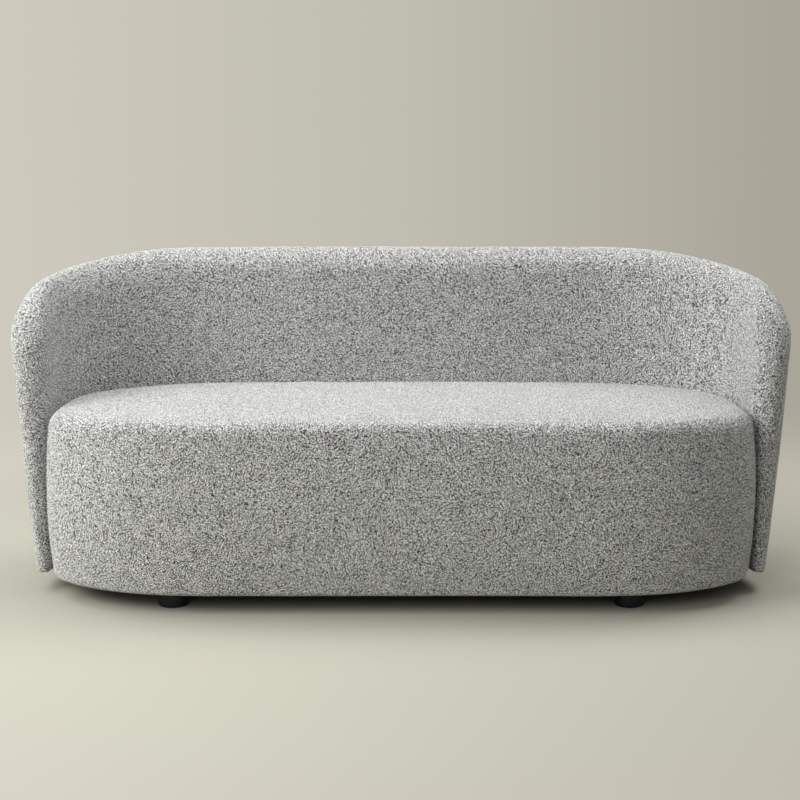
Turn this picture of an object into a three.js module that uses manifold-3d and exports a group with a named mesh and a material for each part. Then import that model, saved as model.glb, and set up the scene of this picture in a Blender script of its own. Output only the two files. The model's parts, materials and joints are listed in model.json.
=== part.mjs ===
// Curved sofa: an upholstered seat drum with a separate shell wrapped round its back and sides.
// Millimetres, +Z up, front towards -Y. The group's origin is the middle of the footprint, on the floor.

import * as THREE from 'three';
import { mergeVertices } from 'three/addons/utils/BufferGeometryUtils.js';
import Module from 'manifold-3d';

const wasm = await Module();
wasm.setup();

// Overall sizes
const overallHeight = 766;
const armHeight = 705;
const seatHeight = 440;
const groundClearance = 41;
const planHalfWidth = 816;
const planDepth = 612;

// Fits and fabric
const fit = 0.3;
const overrun = 30;
const weld = 0.001;
const coverThickness = 2;
const dustThickness = 1.5;
const hemWidth = 48;
const seamGap = 0.3;

// Seat drum
const topRadius = 40;
const bottomRadius = 16;
const wallBulge = 15;
const bulgeFade = 50;
const bulgeOverlap = 15;
const crown = 3;
const backEdgeStart = 220;
const backEdgeRun = 200;
const wallFoamThickness = 18;
const cardThickness = 3;

// Base frame
const boardThickness = 18;
const plinthHeight = 60;
const hoopThickness = 18;
const rimTop = 308;
const rimWidth = 70;
const baseStudWidth = 60;

// Springs and deck
const railHeight = 10;
const railWidth = 12;
const railInset = 30;
const railEndInset = 196;
const wireRadius = 1.9;
const springEndInset = 95;
const springHalfWidth = 24;
const springBend = 42;
const springCrown = 5;
const feltThickness = 4;

// Feet and their fasteners
const footRadius = 33.5;
const footRound = 4;
const footSideInset = 296;
const footFrontInset = 90.3;
const footRearInset = 93;
const footScrewDepth = 26;
const screwRadius = 4;
const screwStandOut = 8;
const teeFlangeRadius = 11;
const teeFlangeThickness = 1.6;
const teeBarrelRadius = 5.6;
const teeBarrelLength = 12;

// Shell
const shellGap = 4;
const shellBottom = 44;
const armEnd = 205;
const armThickness = 86;
const backThickness = 115;
const armFoot = 44;
const backFoot = 60;
const leanStart = 420;
const armLeanAngle = 1.4;
const backLeanAngle = 8.5;
const cornerRadius = 170;
const noseLength = 45;
const noseTip = 3;
const seamDrop = 10;
const sideSeamDistance = 350;

// Shell frame
const laneStart = 75;
const laneDrop = 10;
const shellBoardThickness = 4;
const shellHoopThickness = 16;
const shellHoopHeight = 60;
const shellStudWidth = 50;
const studRelief = 0.8;

// Bolts that hold the shell to the base
const boltRadius = 4;
const boltHeadRadius = 10;
const boltHeadThickness = 5;

// Shapes as shares of the sizes above
const planShares = [
  [0, 0], [0.306, 0], [0.6, -0.0065], [0.784, 0.033], [0.9975, 0.212],
  [1, 0.4575], [0.919, 0.763], [0.68, 0.974], [0.337, 0.984], [0, 1],
];
const planStepShares = [1, 1, 2, 3, 3, 3, 3, 2, 1];
const bellyShare = 0.3;
const riseShare = 0.5;
const shoulderAtCornerShare = 0.5;
const backEdgeShare = 0.8;
const noseShares = [0, 0.12, 0.34, 0.66, 1];
const cornerShares = [0.45, 0.72, 1];
const wallLevelShares = [0.33, 0.67];
const crownRingShares = [0.72, 0.36];
const baseStudShares = [0.07, 0.24, 0.41, 0.59, 0.76, 0.93];
const shellStudShares = [0.1, 0.3, 0.5, 0.7, 0.9];
const boltShares = [0.13, 0.4, 0.6, 0.87];
const crestHoopShare = 0.25;
const armShoulderShare = 0.3962;
const backShoulderShare = 0.1994;
const springCount = 6;
const nosePower = 2.4;
const cornerPower = 2.15;

const degree = Math.PI / 180;
const seamAngle = 45 * degree;
const upperAngle = (seamAngle + Math.PI / 2) / 2;
const topAngles = [0, seamAngle / 2, seamAngle];
const bottomAngles = [0, Math.PI / 4, Math.PI / 2];
const footAngles = [20 * degree, 55 * degree];
const archSteps = 6;
const roundSides = 16;
const smallSides = 8;
const wireSides = 4;
const wireStepsPerBend = 4;
const wireTightness = 0.9;

// Heights that stack up from the floor
const boardBottom = groundClearance + coverThickness + fit;
const boardTop = boardBottom + boardThickness;
const plinthBottom = boardTop + fit;
const plinthTop = plinthBottom + plinthHeight;
const rimBottom = rimTop - boardThickness;
const railBottom = rimTop + fit;
const wireHeight = railBottom + railHeight / 2;
const feltBottom = Math.max(railBottom + railHeight, wireHeight + wireRadius + springCrown) + fit;
const deckHeight = feltBottom + feltThickness + fit;
const drumTop = seatHeight - crown;
const dustBottom = boardBottom - fit - dustThickness;
const footHeight = dustBottom - fit;

// Heights of the shell's rounded tops
const armShoulder = armShoulderShare * (armHeight - seatHeight);
const backShoulder = backShoulderShare * (overallHeight - seatHeight);

// Layers of the drum's wall, measured outwards from the plan line
const foamFace = -coverThickness - fit;
const cardFace = foamFace - wallFoamThickness - fit;
const frameFace = cardFace - cardThickness - fit;

// Materials
const material = (color, roughness, metalness = 0) =>
  new THREE.MeshStandardMaterial({ color, roughness, metalness });
const boucle = material(0xb4b3af, 0.95);
const foam = material(0xe6dcb8, 0.9);
const plywood = material(0xc8a877, 0.7);
const hardboard = material(0x86664a, 0.8);
const felt = material(0x6d6d6a, 0.95);
const dustCloth = material(0x242427, 0.9);
const blackPlastic = material(0x141414, 0.4);
const steel = material(0x9a9ea3, 0.35, 1);

const sofa = new THREE.Group();

function add(name, geometry, finish) {
  const mesh = new THREE.Mesh(geometry, finish);
  mesh.name = name;
  sofa.add(mesh);
  return mesh;
}

const mix = (a, b, t) => a + (b - a) * t;

function smooth(t) {
  const c = Math.min(1, Math.max(0, t));
  return c * c * (3 - 2 * c);
}

// Plan line: a uniform cubic B-spline through the right half, mirrored about the middle
function planSpline(points, span, t) {
  const [a, b, c, d] = points.slice(span, span + 4);
  const weights = [
    (1 - t) ** 3, 3 * t ** 3 - 6 * t ** 2 + 4, -3 * t ** 3 + 3 * t ** 2 + 3 * t + 1, t ** 3,
  ];
  const total = weights.reduce((sum, w) => sum + w, 0);
  const blend = (k) => [a, b, c, d].reduce((sum, point, i) => sum + point[k] * weights[i], 0) / total;
  return new THREE.Vector2(blend(0), blend(1));
}

function planHalf() {
  const points = planShares.map(([x, y]) => [x * planHalfWidth, y * planDepth]);
  const [first, last] = [points[1], points.at(-2)];
  const padded = [[-first[0], first[1]], ...points, [-last[0], last[1]]];
  const line = [];
  for (let span = 0; span + 3 < padded.length; span += 1) {
    const steps = planStepShares[span];
    for (let k = 0; k < steps; k += 1) line.push(planSpline(padded, span, k / steps));
  }
  line.push(planSpline(padded, padded.length - 4, 1));
  line[0].x = 0;
  line.at(-1).x = 0;
  return line;
}

// The closed ring runs anticlockwise seen from above, from the middle of the front
function planRing() {
  const right = planHalf();
  const left = right.slice(1, -1).reverse().map((p) => new THREE.Vector2(-p.x, p.y));
  const line = [...right, ...left];
  return line.map((p, i) => {
    const before = line.at(i - 1);
    const after = line[(i + 1) % line.length];
    const tangent = after.clone().sub(before).normalize();
    return { p, n: new THREE.Vector2(tangent.y, -tangent.x) };
  });
}

const ring = planRing();
const ringAt = (i) => ring[((i % ring.length) + ring.length) % ring.length];

// Turns [out, z] points at a place on the plan line into points in space
const place = (post, points) =>
  points.map(([out, z]) => new THREE.Vector3(post.p.x + post.n.x * out, post.p.y + post.n.y * out, z));

const between = (a, b, t) => a.map((point, k) => point.clone().lerp(b[k], t));

// Triangles of a flat contour, wound in the contour's own order
function fillContour(contour) {
  const order = Math.sign(THREE.ShapeUtils.area(contour));
  return THREE.ShapeUtils.triangulateShape(contour, []).map(([a, b, c]) => {
    const turn = Math.sign(THREE.ShapeUtils.area([contour[a], contour[b], contour[c]]));
    return turn === order ? [a, b, c] : [a, c, b];
  });
}

// Triangles across a section whose points run up one side and back down the other
function ladder(count) {
  const faces = [];
  for (let low = 0, high = count - 1; low + 1 < high; low += 1, high -= 1) {
    faces.push([low, low + 1, high]);
    if (low + 1 < high - 1) faces.push([low + 1, high - 1, high]);
  }
  return faces;
}

// Volume of the closed triangle list, positive when the faces point outwards
function signedVolume(points, faces) {
  const normal = new THREE.Vector3();
  return faces.reduce((sum, [a, b, c]) => {
    normal.crossVectors(points[b], points[c]);
    return sum + points[a].dot(normal);
  }, 0);
}

function meshOf(points, faces) {
  const outward = signedVolume(points, faces) > 0;
  const index = faces.flatMap(([a, b, c]) => (outward ? [a, b, c] : [a, c, b]));
  const geometry = new THREE.BufferGeometry().setFromPoints(points);
  geometry.setIndex(index);
  return geometry;
}

// Splits a four-sided face so that layers inside each other are split alike, whichever way they run
function splitFace(points, a, b, c, d) {
  const rising = points[c].z + points[d].z >= points[a].z + points[b].z;
  return rising ? [[a, b, c], [a, c, d]] : [[a, b, d], [b, c, d]];
}

// The same for faces between stations, whose rings stand upright
function splitAlong(points, a, b, c, d) {
  const rising = points[b].z + points[c].z >= points[a].z + points[d].z;
  return rising ? [[a, b, c], [a, c, d]] : [[a, b, d], [b, c, d]];
}

// Skins a row of closed rings; the row closes on itself, or its two ends are filled by lists of faces
function loft(rings, fills = null, split = splitFace) {
  const count = rings[0].length;
  const points = rings.flat();
  const faces = [];
  const rows = fills ? rings.length - 1 : rings.length;
  for (let r = 0; r < rows; r += 1) {
    const low = r * count;
    const high = ((r + 1) % rings.length) * count;
    for (let j = 0; j < count; j += 1) {
      const k = (j + 1) % count;
      faces.push(...split(points, low + j, low + k, high + k, high + j));
    }
  }
  if (fills) {
    const end = (rings.length - 1) * count;
    for (const [a, b, c] of fills[0]) faces.push([a, c, b]);
    for (const [a, b, c] of fills[1]) faces.push([end + a, end + b, end + c]);
  }
  return meshOf(points, faces);
}

// Manifold solids join and cut the closed meshes
function solidOf(geometry) {
  const bare = new THREE.BufferGeometry();
  bare.setAttribute('position', geometry.getAttribute('position').clone());
  if (geometry.index) bare.setIndex(geometry.index.clone());
  const merged = mergeVertices(bare, weld);
  return new wasm.Manifold(new wasm.Mesh({
    numProp: 3,
    vertProperties: Float32Array.from(merged.getAttribute('position').array),
    triVerts: Uint32Array.from(merged.index.array),
  }));
}

function geometryOf(solid) {
  const mesh = solid.getMesh();
  const geometry = new THREE.BufferGeometry();
  geometry.setAttribute('position', new THREE.BufferAttribute(Float32Array.from(mesh.vertProperties), 3));
  geometry.setIndex(new THREE.BufferAttribute(Uint32Array.from(mesh.triVerts), 1));
  return geometry;
}

function cut(geometry, cutters) {
  const solid = cutters.reduce((left, cutter) => left.subtract(solidOf(cutter)), solidOf(geometry));
  return geometryOf(solid);
}

const common = (a, b) => geometryOf(solidOf(a).intersect(solidOf(b)));

// A turned piece: its [radius, height] profile starts and ends on the axis or closes on itself
function turned(profile, sides) {
  const points = profile.map(([r, z]) => new THREE.Vector2(r, z));
  return new THREE.LatheGeometry(points, sides).rotateX(Math.PI / 2);
}

function rod(radius, low, high, sides = smallSides) {
  return turned([[0, low], [radius, low], [radius, high], [0, high]], sides);
}

const fillFlat = (points) => fillContour(points.map((p) => new THREE.Vector2(p.x, p.y)));
const fillSection = (points) => fillContour(points.map(([out, z]) => new THREE.Vector2(out, z)));
const fillLadder = (points) => ladder(points.length);

// Drum surface: how far the wall stands out of the plan line
function frontShare(post) {
  const start = armEnd + bulgeOverlap - bulgeFade;
  return 1 - smooth((post.p.y - start) / bulgeFade);
}

function bulgeAt(post, z) {
  const middle = (groundClearance + drumTop) / 2;
  const v = (z - middle) / (drumTop - middle);
  return wallBulge * frontShare(post) * (1 - v * v);
}

const wallLevels = [
  groundClearance + bottomRadius,
  ...wallLevelShares.map((share) => mix(groundClearance + bottomRadius, deckHeight, share)),
  deckHeight,
  drumTop - topRadius,
];

// The wall is straight between its levels, so that layers inside each other stay clear
function wallOut(post, z) {
  const k = Math.max(1, wallLevels.findIndex((level) => z <= level));
  const [low, high] = [wallLevels[k - 1], wallLevels[k]];
  return mix(bulgeAt(post, low), bulgeAt(post, high), (z - low) / (high - low));
}

const edgeDepth = (post) =>
  topRadius * (1 - backEdgeShare * smooth((post.p.y - backEdgeStart) / backEdgeRun));

// A point on the rounded top edge, from 0 at the wall to a right angle at the seat's flat
function edgePoint(post, angle, inset) {
  const depth = edgeDepth(post);
  const start = drumTop - topRadius;
  const out = -depth + (depth - inset + bulgeAt(post, start)) * Math.cos(angle);
  return [out, start + (topRadius - inset) * Math.sin(angle)];
}

function underPoint(post, angle, inset) {
  const reach = bottomRadius - inset;
  const middle = groundClearance + bottomRadius;
  const out = (reach + bulgeAt(post, middle)) * Math.sin(angle) - bottomRadius;
  return [out, middle - reach * Math.cos(angle)];
}

const drumRing = (pointOf) => ring.map((post) => place(post, [pointOf(post)])[0]);
const drumLevel = (out, z) => drumRing((post) => [out, z]);
const drumRings = (pointsOf) => {
  const columns = ring.map((post) => place(post, pointsOf(post)));
  return columns[0].map((_, k) => columns.map((column) => column[k]));
};

// A flat-sided band or a board that follows the plan line
const drumBand = (inner, outer, low, high) =>
  loft([drumLevel(inner, low), drumLevel(outer, low), drumLevel(outer, high), drumLevel(inner, high)]);

function drumSlab(out, low, high) {
  const outline = drumLevel(out, low);
  return loft([outline, drumLevel(out, high)], [fillFlat(outline), fillFlat(outline)]);
}

// The seat's top inside the rounded edge, drawn towards the middle of the drum and crowned
function crownRings(inset) {
  const edge = drumRing((post) => edgePoint(post, Math.PI / 2, inset));
  const middle = new THREE.Vector3(0, planDepth / 2, 0);
  return crownRingShares.map((share) => edge.map((point) => {
    const inner = middle.clone().lerp(point, share);
    inner.z = point.z + crown * (1 - share ** 3);
    return inner;
  }));
}

function seatTopCover() {
  const angles = [seamAngle + seamGap / topRadius, upperAngle, Math.PI / 2];
  const skin = (inset) => [
    ...drumRings((post) => angles.map((angle) => edgePoint(post, angle, inset))), ...crownRings(inset),
  ];
  const outer = skin(0);
  const inner = skin(coverThickness);
  const rings = [...outer.reverse(), ...inner];
  return loft(rings, [fillFlat(rings[0]), fillFlat(rings.at(-1))]);
}

function seatSideCover(holes) {
  const skin = (post, inset) => [
    [-hemWidth, groundClearance + inset],
    ...bottomAngles.map((angle) => underPoint(post, angle, inset)),
    ...wallLevels.slice(1, -1).map((z) => [wallOut(post, z) - inset, z]),
    ...topAngles.map((angle) => edgePoint(post, angle, inset)),
  ];
  const rings = drumRings((post) => [...skin(post, 0), ...skin(post, coverThickness).reverse()]);
  return cut(loft(rings), holes);
}

function seatFoam() {
  const inset = -foamFace;
  const angles = [...topAngles, upperAngle, Math.PI / 2];
  const rings = [
    ...drumRings((post) => [
      [wallOut(post, deckHeight) - inset, deckHeight],
      ...angles.map((angle) => edgePoint(post, angle, inset)),
    ]),
    ...crownRings(inset),
  ];
  return loft(rings, [fillFlat(rings[0]), fillFlat(rings.at(-1))]);
}

function wallFoam(holes) {
  const inset = -foamFace;
  const top = deckHeight - fit;
  const innerFace = foamFace - wallFoamThickness;
  const rings = drumRings((post) => [
    [innerFace, boardBottom],
    ...bottomAngles.map((angle) => underPoint(post, angle, inset)),
    ...wallLevels.slice(1, -2).map((z) => [wallOut(post, z) - inset, z]),
    [wallOut(post, top) - inset, top],
    [innerFace, top],
  ]);
  return cut(loft(rings), holes);
}

// Shell path: places on the plan line measured from the right arm's end round the back
function pathOf() {
  const start = ring.findIndex((post) => post.p.x > 0 && post.p.y >= armEnd);
  const ahead = ringAt(start - 1);
  const t = (armEnd - ahead.p.y) / (ring[start].p.y - ahead.p.y);
  const begin = { p: ahead.p.clone().lerp(ring[start].p, t), n: ahead.n.clone().lerp(ring[start].n, t) };
  const back = ring.filter((post) => post.p.y > armEnd);
  const mirror = { p: new THREE.Vector2(-begin.p.x, begin.p.y), n: new THREE.Vector2(-begin.n.x, begin.n.y) };
  const posts = [begin, ...back, mirror];
  let distance = 0;
  return posts.map((post, i) => {
    if (i > 0) distance += post.p.distanceTo(posts[i - 1].p);
    return { ...post, s: distance };
  });
}

const path = pathOf();
const pathLength = path.at(-1).s;

function pathPost(s) {
  const k = Math.min(path.length - 1, Math.max(1, path.findIndex((post) => post.s >= s)));
  const i = s > pathLength ? path.length - 1 : k;
  const [a, b] = [path[i - 1], path[i]];
  const t = (s - a.s) / (b.s - a.s);
  return { p: a.p.clone().lerp(b.p, t), n: a.n.clone().lerp(b.n, t) };
}

const endDistance = (s) => Math.min(s, pathLength - s);

// Stations: finer at the noses and corners, one at every bend of the path, and a pair at each seam
function stationList() {
  const near = [
    ...noseShares.map((share) => share * noseLength),
    ...cornerShares.map((share) => share * cornerRadius),
    sideSeamDistance - seamGap / 2,
    sideSeamDistance + seamGap / 2,
  ];
  const clear = cornerRadius + noseLength / 3;
  const bends = path.map((post) => post.s).filter((s) => endDistance(s) > clear);
  const spread = bends.filter((s) => Math.abs(endDistance(s) - sideSeamDistance) > noseLength / 3);
  return [...near, ...near.map((s) => pathLength - s), ...spread].sort((a, b) => a - b);
}

const stations = stationList();

function noseShare(e) {
  const t = 1 - (e + noseTip) / (noseLength + noseTip);
  return e >= noseLength ? 1 : (1 - t ** nosePower) ** (1 / nosePower);
}

// The shell's sizes at a distance from the nearer arm end
function shellSizes(e) {
  const blend = smooth(e / (riseShare * pathLength / 2));
  const height = mix(armHeight, overallHeight, blend);
  const shoulder = mix(armShoulder, backShoulder, blend);
  const left = Math.max(0, 1 - e / cornerRadius);
  const top = height - cornerRadius * (1 - (1 - left ** cornerPower) ** (1 / cornerPower));
  const full = height - shoulder;
  return {
    top,
    full,
    waist: Math.min(full, top - shoulder * shoulderAtCornerShare),
    thickness: mix(armThickness, backThickness, blend),
    foot: mix(armFoot, backFoot, blend),
    lean: Math.tan(mix(armLeanAngle, backLeanAngle, blend) * degree),
    share: noseShare(e),
  };
}

const innerOut = (size, z) => shellGap + Math.max(0, z - leanStart) * size.lean;

function outerOut(size, z) {
  const v = (z - shellBottom) / (size.full - shellBottom);
  const reach = innerOut(size, size.full) + size.thickness - shellGap - size.foot;
  return shellGap + size.foot + reach * (v + bellyShare * v * (1 - v));
}

const middleOut = (size, z) => (innerOut(size, z) + outerOut(size, z)) / 2;

function halfThickness(size, z, inset) {
  return ((outerOut(size, z) - innerOut(size, z)) / 2) * size.share - inset;
}

// The sides are straight between these levels, and plumb below the lowest
const sideLevels = (size) => [
  shellBottom, (shellBottom + leanStart) / 2, leanStart, (leanStart + size.waist) / 2, size.waist,
];

function sideOut(size, z, sign, inset) {
  const levels = sideLevels(size);
  const faceAt = (level) => middleOut(size, level) + sign * halfThickness(size, level, inset);
  const t = Math.max(0, z - levels[0]) / (levels[1] - levels[0]);
  return z < levels[1] ? mix(faceAt(levels[0]), faceAt(levels[1]), t) : faceAt(z);
}

// The shell's closed section: up the outside, over the round top and down the inside
function shellSection(e, inset, bottom) {
  const size = shellSizes(e);
  const levels = [bottom, ...sideLevels(size).filter((z) => z > bottom)];
  const side = (sign) => levels.map((z) => [sideOut(size, z, sign, inset), z]);
  const rise = size.top - inset - size.waist;
  const arch = [];
  for (let k = 1; k < archSteps; k += 1) {
    const angle = (k / archSteps) * Math.PI;
    const up = rise * Math.sin(angle);
    const across = halfThickness(size, size.waist, inset) * Math.cos(angle);
    arch.push([middleOut(size, size.waist) + up * size.lean + across, size.waist + up]);
  }
  return [...side(1), ...arch, ...side(-1).reverse()];
}

// An inset layer is drawn back from the nose by as much as it is drawn in from the sides
function stationPost(s, inset) {
  const back = inset * Math.max(0, 1 - endDistance(s) / noseLength);
  return pathPost(s < pathLength / 2 ? s + back : s - back);
}

function shellLoft(list, sectionAt, inset = 0) {
  const sections = list.map((s) => sectionAt(endDistance(s)));
  const rings = list.map((s, k) => place(stationPost(s, inset), sections[k]));
  return loft(rings, [fillLadder(rings[0]), fillLadder(rings[0])], splitAlong);
}

const shellForm = (inset, bottom) => shellLoft(stations, (e) => shellSection(e, inset, bottom), inset);

// Part of the path, with its ends between stations and every station inside
function stretch(from, to, sectionAt) {
  const ringFor = (s) => place(pathPost(s), sectionAt(endDistance(s)));
  const cutAt = (s) => {
    const k = stations.findIndex((value) => value >= s);
    const [a, b] = [stations[k - 1], stations[k]];
    return between(ringFor(a), ringFor(b), (s - a) / (b - a));
  };
  const inside = stations.filter((s) => s > from + weld && s < to - weld).map(ringFor);
  const rings = [cutAt(from), ...inside, cutAt(to)];
  return loft(rings, [fillLadder(rings[0]), fillLadder(rings[0])], splitAlong);
}

// The lane inside the foam that holds the board, the hoops and the studs
const laneTop = (size) => size.full - laneDrop;
const laneLevels = (size) => [
  laneBottom, hoopTop, seatHoopBottom, leanStart, crestBottom(size), crestTop(size),
];
const laneWidth = shellBoardThickness + shellHoopThickness + 3 * fit;

function laneOut(size, z) {
  const low = middleOut(size, shellBottom);
  const bend = middleOut(size, leanStart);
  const high = middleOut(size, laneTop(size));
  if (z <= leanStart) return mix(low, bend, Math.max(0, z - shellBottom) / (leanStart - shellBottom));
  return mix(bend, high, (z - leanStart) / (laneTop(size) - leanStart));
}

function laneSection(levelsOf, inner, outer) {
  return (e) => {
    const size = shellSizes(e);
    const levels = levelsOf(size);
    const face = (offset) => levels.map((z) => [laneOut(size, z) - laneWidth / 2 + offset, z]);
    return [...face(outer), ...face(inner).reverse()];
  };
}

const boardFaces = [fit, fit + shellBoardThickness];
const hoopFaces = [2 * fit + shellBoardThickness, 2 * fit + shellBoardThickness + shellHoopThickness];
const studFaces = [hoopFaces[0] + studRelief, hoopFaces[1] - studRelief];
const laneBottom = shellBottom + dustThickness + fit;
const hoopTop = laneBottom + shellHoopHeight;
const seatHoopBottom = leanStart - shellHoopHeight;
const crestTop = (size) => laneTop(size) - fit;
const crestBottom = (size) => mix(crestTop(size), leanStart, crestHoopShare);

const laneEnds = [laneStart + fit, pathLength - laneStart - fit];

function laneStretch(levelsOf, faces, ends = laneEnds) {
  return stretch(ends[0], ends[1], laneSection(levelsOf, faces[0], faces[1]));
}

function shellFoam(holes) {
  const bottom = laneBottom;
  const outside = shellForm(coverThickness + fit, bottom);
  const levelsOf = (size) => [shellBottom - overrun, ...laneLevels(size).slice(0, -1), laneTop(size)];
  const lane = stretch(laneStart, pathLength - laneStart, laneSection(levelsOf, 0, laneWidth));
  return cut(outside, [lane, ...holes]);
}

// The zone of the shell's skin that lies inside the seam: over the inner face and the round top
function zone(from, to, sectionAt) {
  const inside = stations.filter((s) => s > from + weld && s < to - weld);
  const list = [from, ...inside, to];
  const sections = list.map((s) => sectionAt(Math.max(0, endDistance(s))));
  const rings = list.map((s, k) => place(pathPost(s), sections[k]));
  return loft(rings, [fillSection(sections[0]), fillSection(sections.at(-1))], splitAlong);
}

function innerZoneSection(grow) {
  return (e) => {
    const size = shellSizes(e);
    const seam = size.waist - seamDrop - grow;
    const low = shellBottom - overrun;
    const far = outerOut(size, seam) + overrun;
    const [foot, bend, head] = [shellBottom, leanStart, seam].map((z) => middleOut(size, z) + grow);
    return [
      [-overrun, low], [foot, low], [bend, leanStart], [head, seam],
      [far, seam], [far, size.top + overrun], [-overrun, size.top + overrun],
    ];
  };
}

function shellCovers(holes) {
  const skin = cut(shellForm(0, shellBottom), [shellForm(coverThickness, shellBottom - overrun), ...holes]);
  const edge = sideSeamDistance - seamGap / 2;
  const past = sideSeamDistance + seamGap / 2;
  const panel = (from, to) => common(skin, zone(from, to, innerZoneSection(0)));
  return {
    inner_arm_cover_right: panel(-overrun, edge),
    inner_back_cover: panel(past, pathLength - past),
    inner_arm_cover_left: panel(pathLength - edge, pathLength + overrun),
    outer_shell_cover: cut(skin, [zone(-overrun, pathLength + overrun, innerZoneSection(seamGap))]),
  };
}

function shellUnderStrip() {
  const inset = coverThickness + fit;
  return shellLoft(stations, (e) => {
    const size = shellSizes(e);
    const half = halfThickness(size, shellBottom, inset);
    const out = middleOut(size, shellBottom);
    const top = shellBottom + dustThickness;
    return [[out + half, shellBottom], [out + half, top], [out - half, top], [out - half, shellBottom]];
  }, inset);
}

// A place on the drum's ring or the shell's path as a share of its length, with its outward direction
function poseAlong(geometry, post, height) {
  const facing = Math.atan2(post.n.y, post.n.x);
  return geometry.rotateY(Math.PI / 2).rotateZ(facing).translate(post.p.x, post.p.y, height);
}

function segmentMiddle(share) {
  const s = share * pathLength;
  const k = path.findIndex((post) => post.s >= s);
  const [a, b] = [path[k - 1], path[k]];
  const along = b.p.clone().sub(a.p).normalize();
  return { p: a.p.clone().lerp(b.p, 0.5), n: new THREE.Vector2(along.y, -along.x) };
}

// Bolts run outwards from the plinth hoop into the shell's bottom hoop
const boltHeight = (plinthBottom + hoopTop) / 2;
const plinthInner = frameFace - hoopThickness;

function boltReach(share) {
  const size = shellSizes(endDistance(share * pathLength));
  return laneOut(size, boltHeight) - laneWidth / 2 + hoopFaces[1];
}

function jointBolt(share) {
  const headFace = plinthInner - fit;
  const profile = [
    [0, headFace - boltHeadThickness], [boltHeadRadius, headFace - boltHeadThickness],
    [boltHeadRadius, headFace], [boltRadius, headFace], [boltRadius, boltReach(share)], [0, boltReach(share)],
  ];
  return poseAlong(turned(profile, smallSides), segmentMiddle(share), boltHeight);
}

function boltHole(share) {
  const hole = rod(boltRadius + fit, plinthInner - overrun, boltReach(share) + fit);
  return poseAlong(hole, segmentMiddle(share), boltHeight);
}

// Feet stand under the bottom board, each on a screw that runs up into a tee nut
const footHalfSpacing = planHalfWidth - footSideInset;
const footFront = crossing(footHalfSpacing, 0, true) + footFrontInset;
const footRear = crossing(footHalfSpacing, 0, false) - footRearInset;
const footPlaces = [
  ['front_left', -footHalfSpacing, footFront],
  ['front_right', footHalfSpacing, footFront],
  ['rear_left', -footHalfSpacing, footRear],
  ['rear_right', footHalfSpacing, footRear],
];
const screwBottom = footHeight - footScrewDepth;
const screwTop = boardTop + screwStandOut;
const screwHole = screwRadius + fit;

function foot() {
  const sole = footRadius - footRound;
  const corner = footAngles.map((a) => [sole + footRound * Math.sin(a), footRound - footRound * Math.cos(a)]);
  const profile = [
    [0, 0], [sole, 0], ...corner, [footRadius, footRound], [footRadius, footHeight],
    [screwHole, footHeight], [screwHole, screwBottom - fit], [0, screwBottom - fit],
  ];
  return turned(profile, roundSides);
}

function teeNut() {
  const flangeBottom = boardTop + fit;
  const flangeTop = flangeBottom + teeFlangeThickness;
  const barrelBottom = boardTop - teeBarrelLength;
  return turned([
    [screwHole, barrelBottom], [teeBarrelRadius, barrelBottom], [teeBarrelRadius, flangeBottom],
    [teeFlangeRadius, flangeBottom], [teeFlangeRadius, flangeTop], [screwHole, flangeTop],
    [screwHole, barrelBottom],
  ], smallSides);
}

function addFeet() {
  for (const [name, x, y] of footPlaces) {
    add(`foot_${name}`, foot().translate(x, y, 0), blackPlastic);
    add(`foot_screw_${name}`, rod(screwRadius, screwBottom, screwTop).translate(x, y, 0), steel);
    add(`tee_nut_${name}`, teeNut().translate(x, y, 0), steel);
  }
}

const footHole = (x, y, radius) => rod(radius, 0, screwTop + overrun).translate(x, y, 0);
const footHoles = (radius) => footPlaces.map(([, x, y]) => footHole(x, y, radius));

// Where the drum's offset line crosses a given x, at the front or the back
function crossing(x, out, atFront) {
  const line = ring.map((post) => post.p.clone().addScaledVector(post.n, out));
  const found = line.flatMap((a, i) => {
    const b = line[(i + 1) % line.length];
    const inside = (a.x - x) * (b.x - x) <= 0 && a.x !== b.x;
    return inside ? [mix(a.y, b.y, (x - a.x) / (b.x - a.x))] : [];
  });
  return atFront ? Math.min(...found) : Math.max(...found);
}

// Part of the drum's ring, with its ends between posts
function drumStretch(from, to, points) {
  const columnAt = (f) => {
    const k = Math.floor(f);
    return between(place(ringAt(k), points), place(ringAt(k + 1), points), f - k);
  };
  const inside = [];
  for (let k = Math.floor(from) + 1; k < to; k += 1) inside.push(place(ringAt(k), points));
  const rings = [columnAt(from), ...inside, columnAt(to)];
  return loft(rings, [fillLadder(points), fillLadder(points)]);
}

const quad = (inner, outer, low, high) => [[outer, low], [outer, high], [inner, high], [inner, low]];

// Ring index where the front or back half of the line reaches a given x
function indexAt(x, atFront) {
  const half = (ring.length) / 2;
  const list = [...Array(half).keys()].map((k) => (atFront ? k : half - k));
  const step = atFront ? 1 : -1;
  const k = list.find((i) => ringAt(i + step).p.x >= x && ringAt(i).p.x <= x);
  const [a, b] = [ringAt(k), ringAt(k + step)];
  return k + step * ((x - a.p.x) / (b.p.x - a.p.x));
}

const railHalfLength = planHalfWidth - railEndInset;
const springPitch = (2 * (railHalfLength - springEndInset)) / (springCount - 1);

function springRail(atFront) {
  const outer = frameFace - railInset;
  const points = quad(outer - railWidth, outer, railBottom, railBottom + railHeight);
  const end = indexAt(railHalfLength, atFront);
  const other = atFront ? -end : ring.length - end;
  return atFront ? drumStretch(other, end, points) : drumStretch(end, other, points);
}

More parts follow.
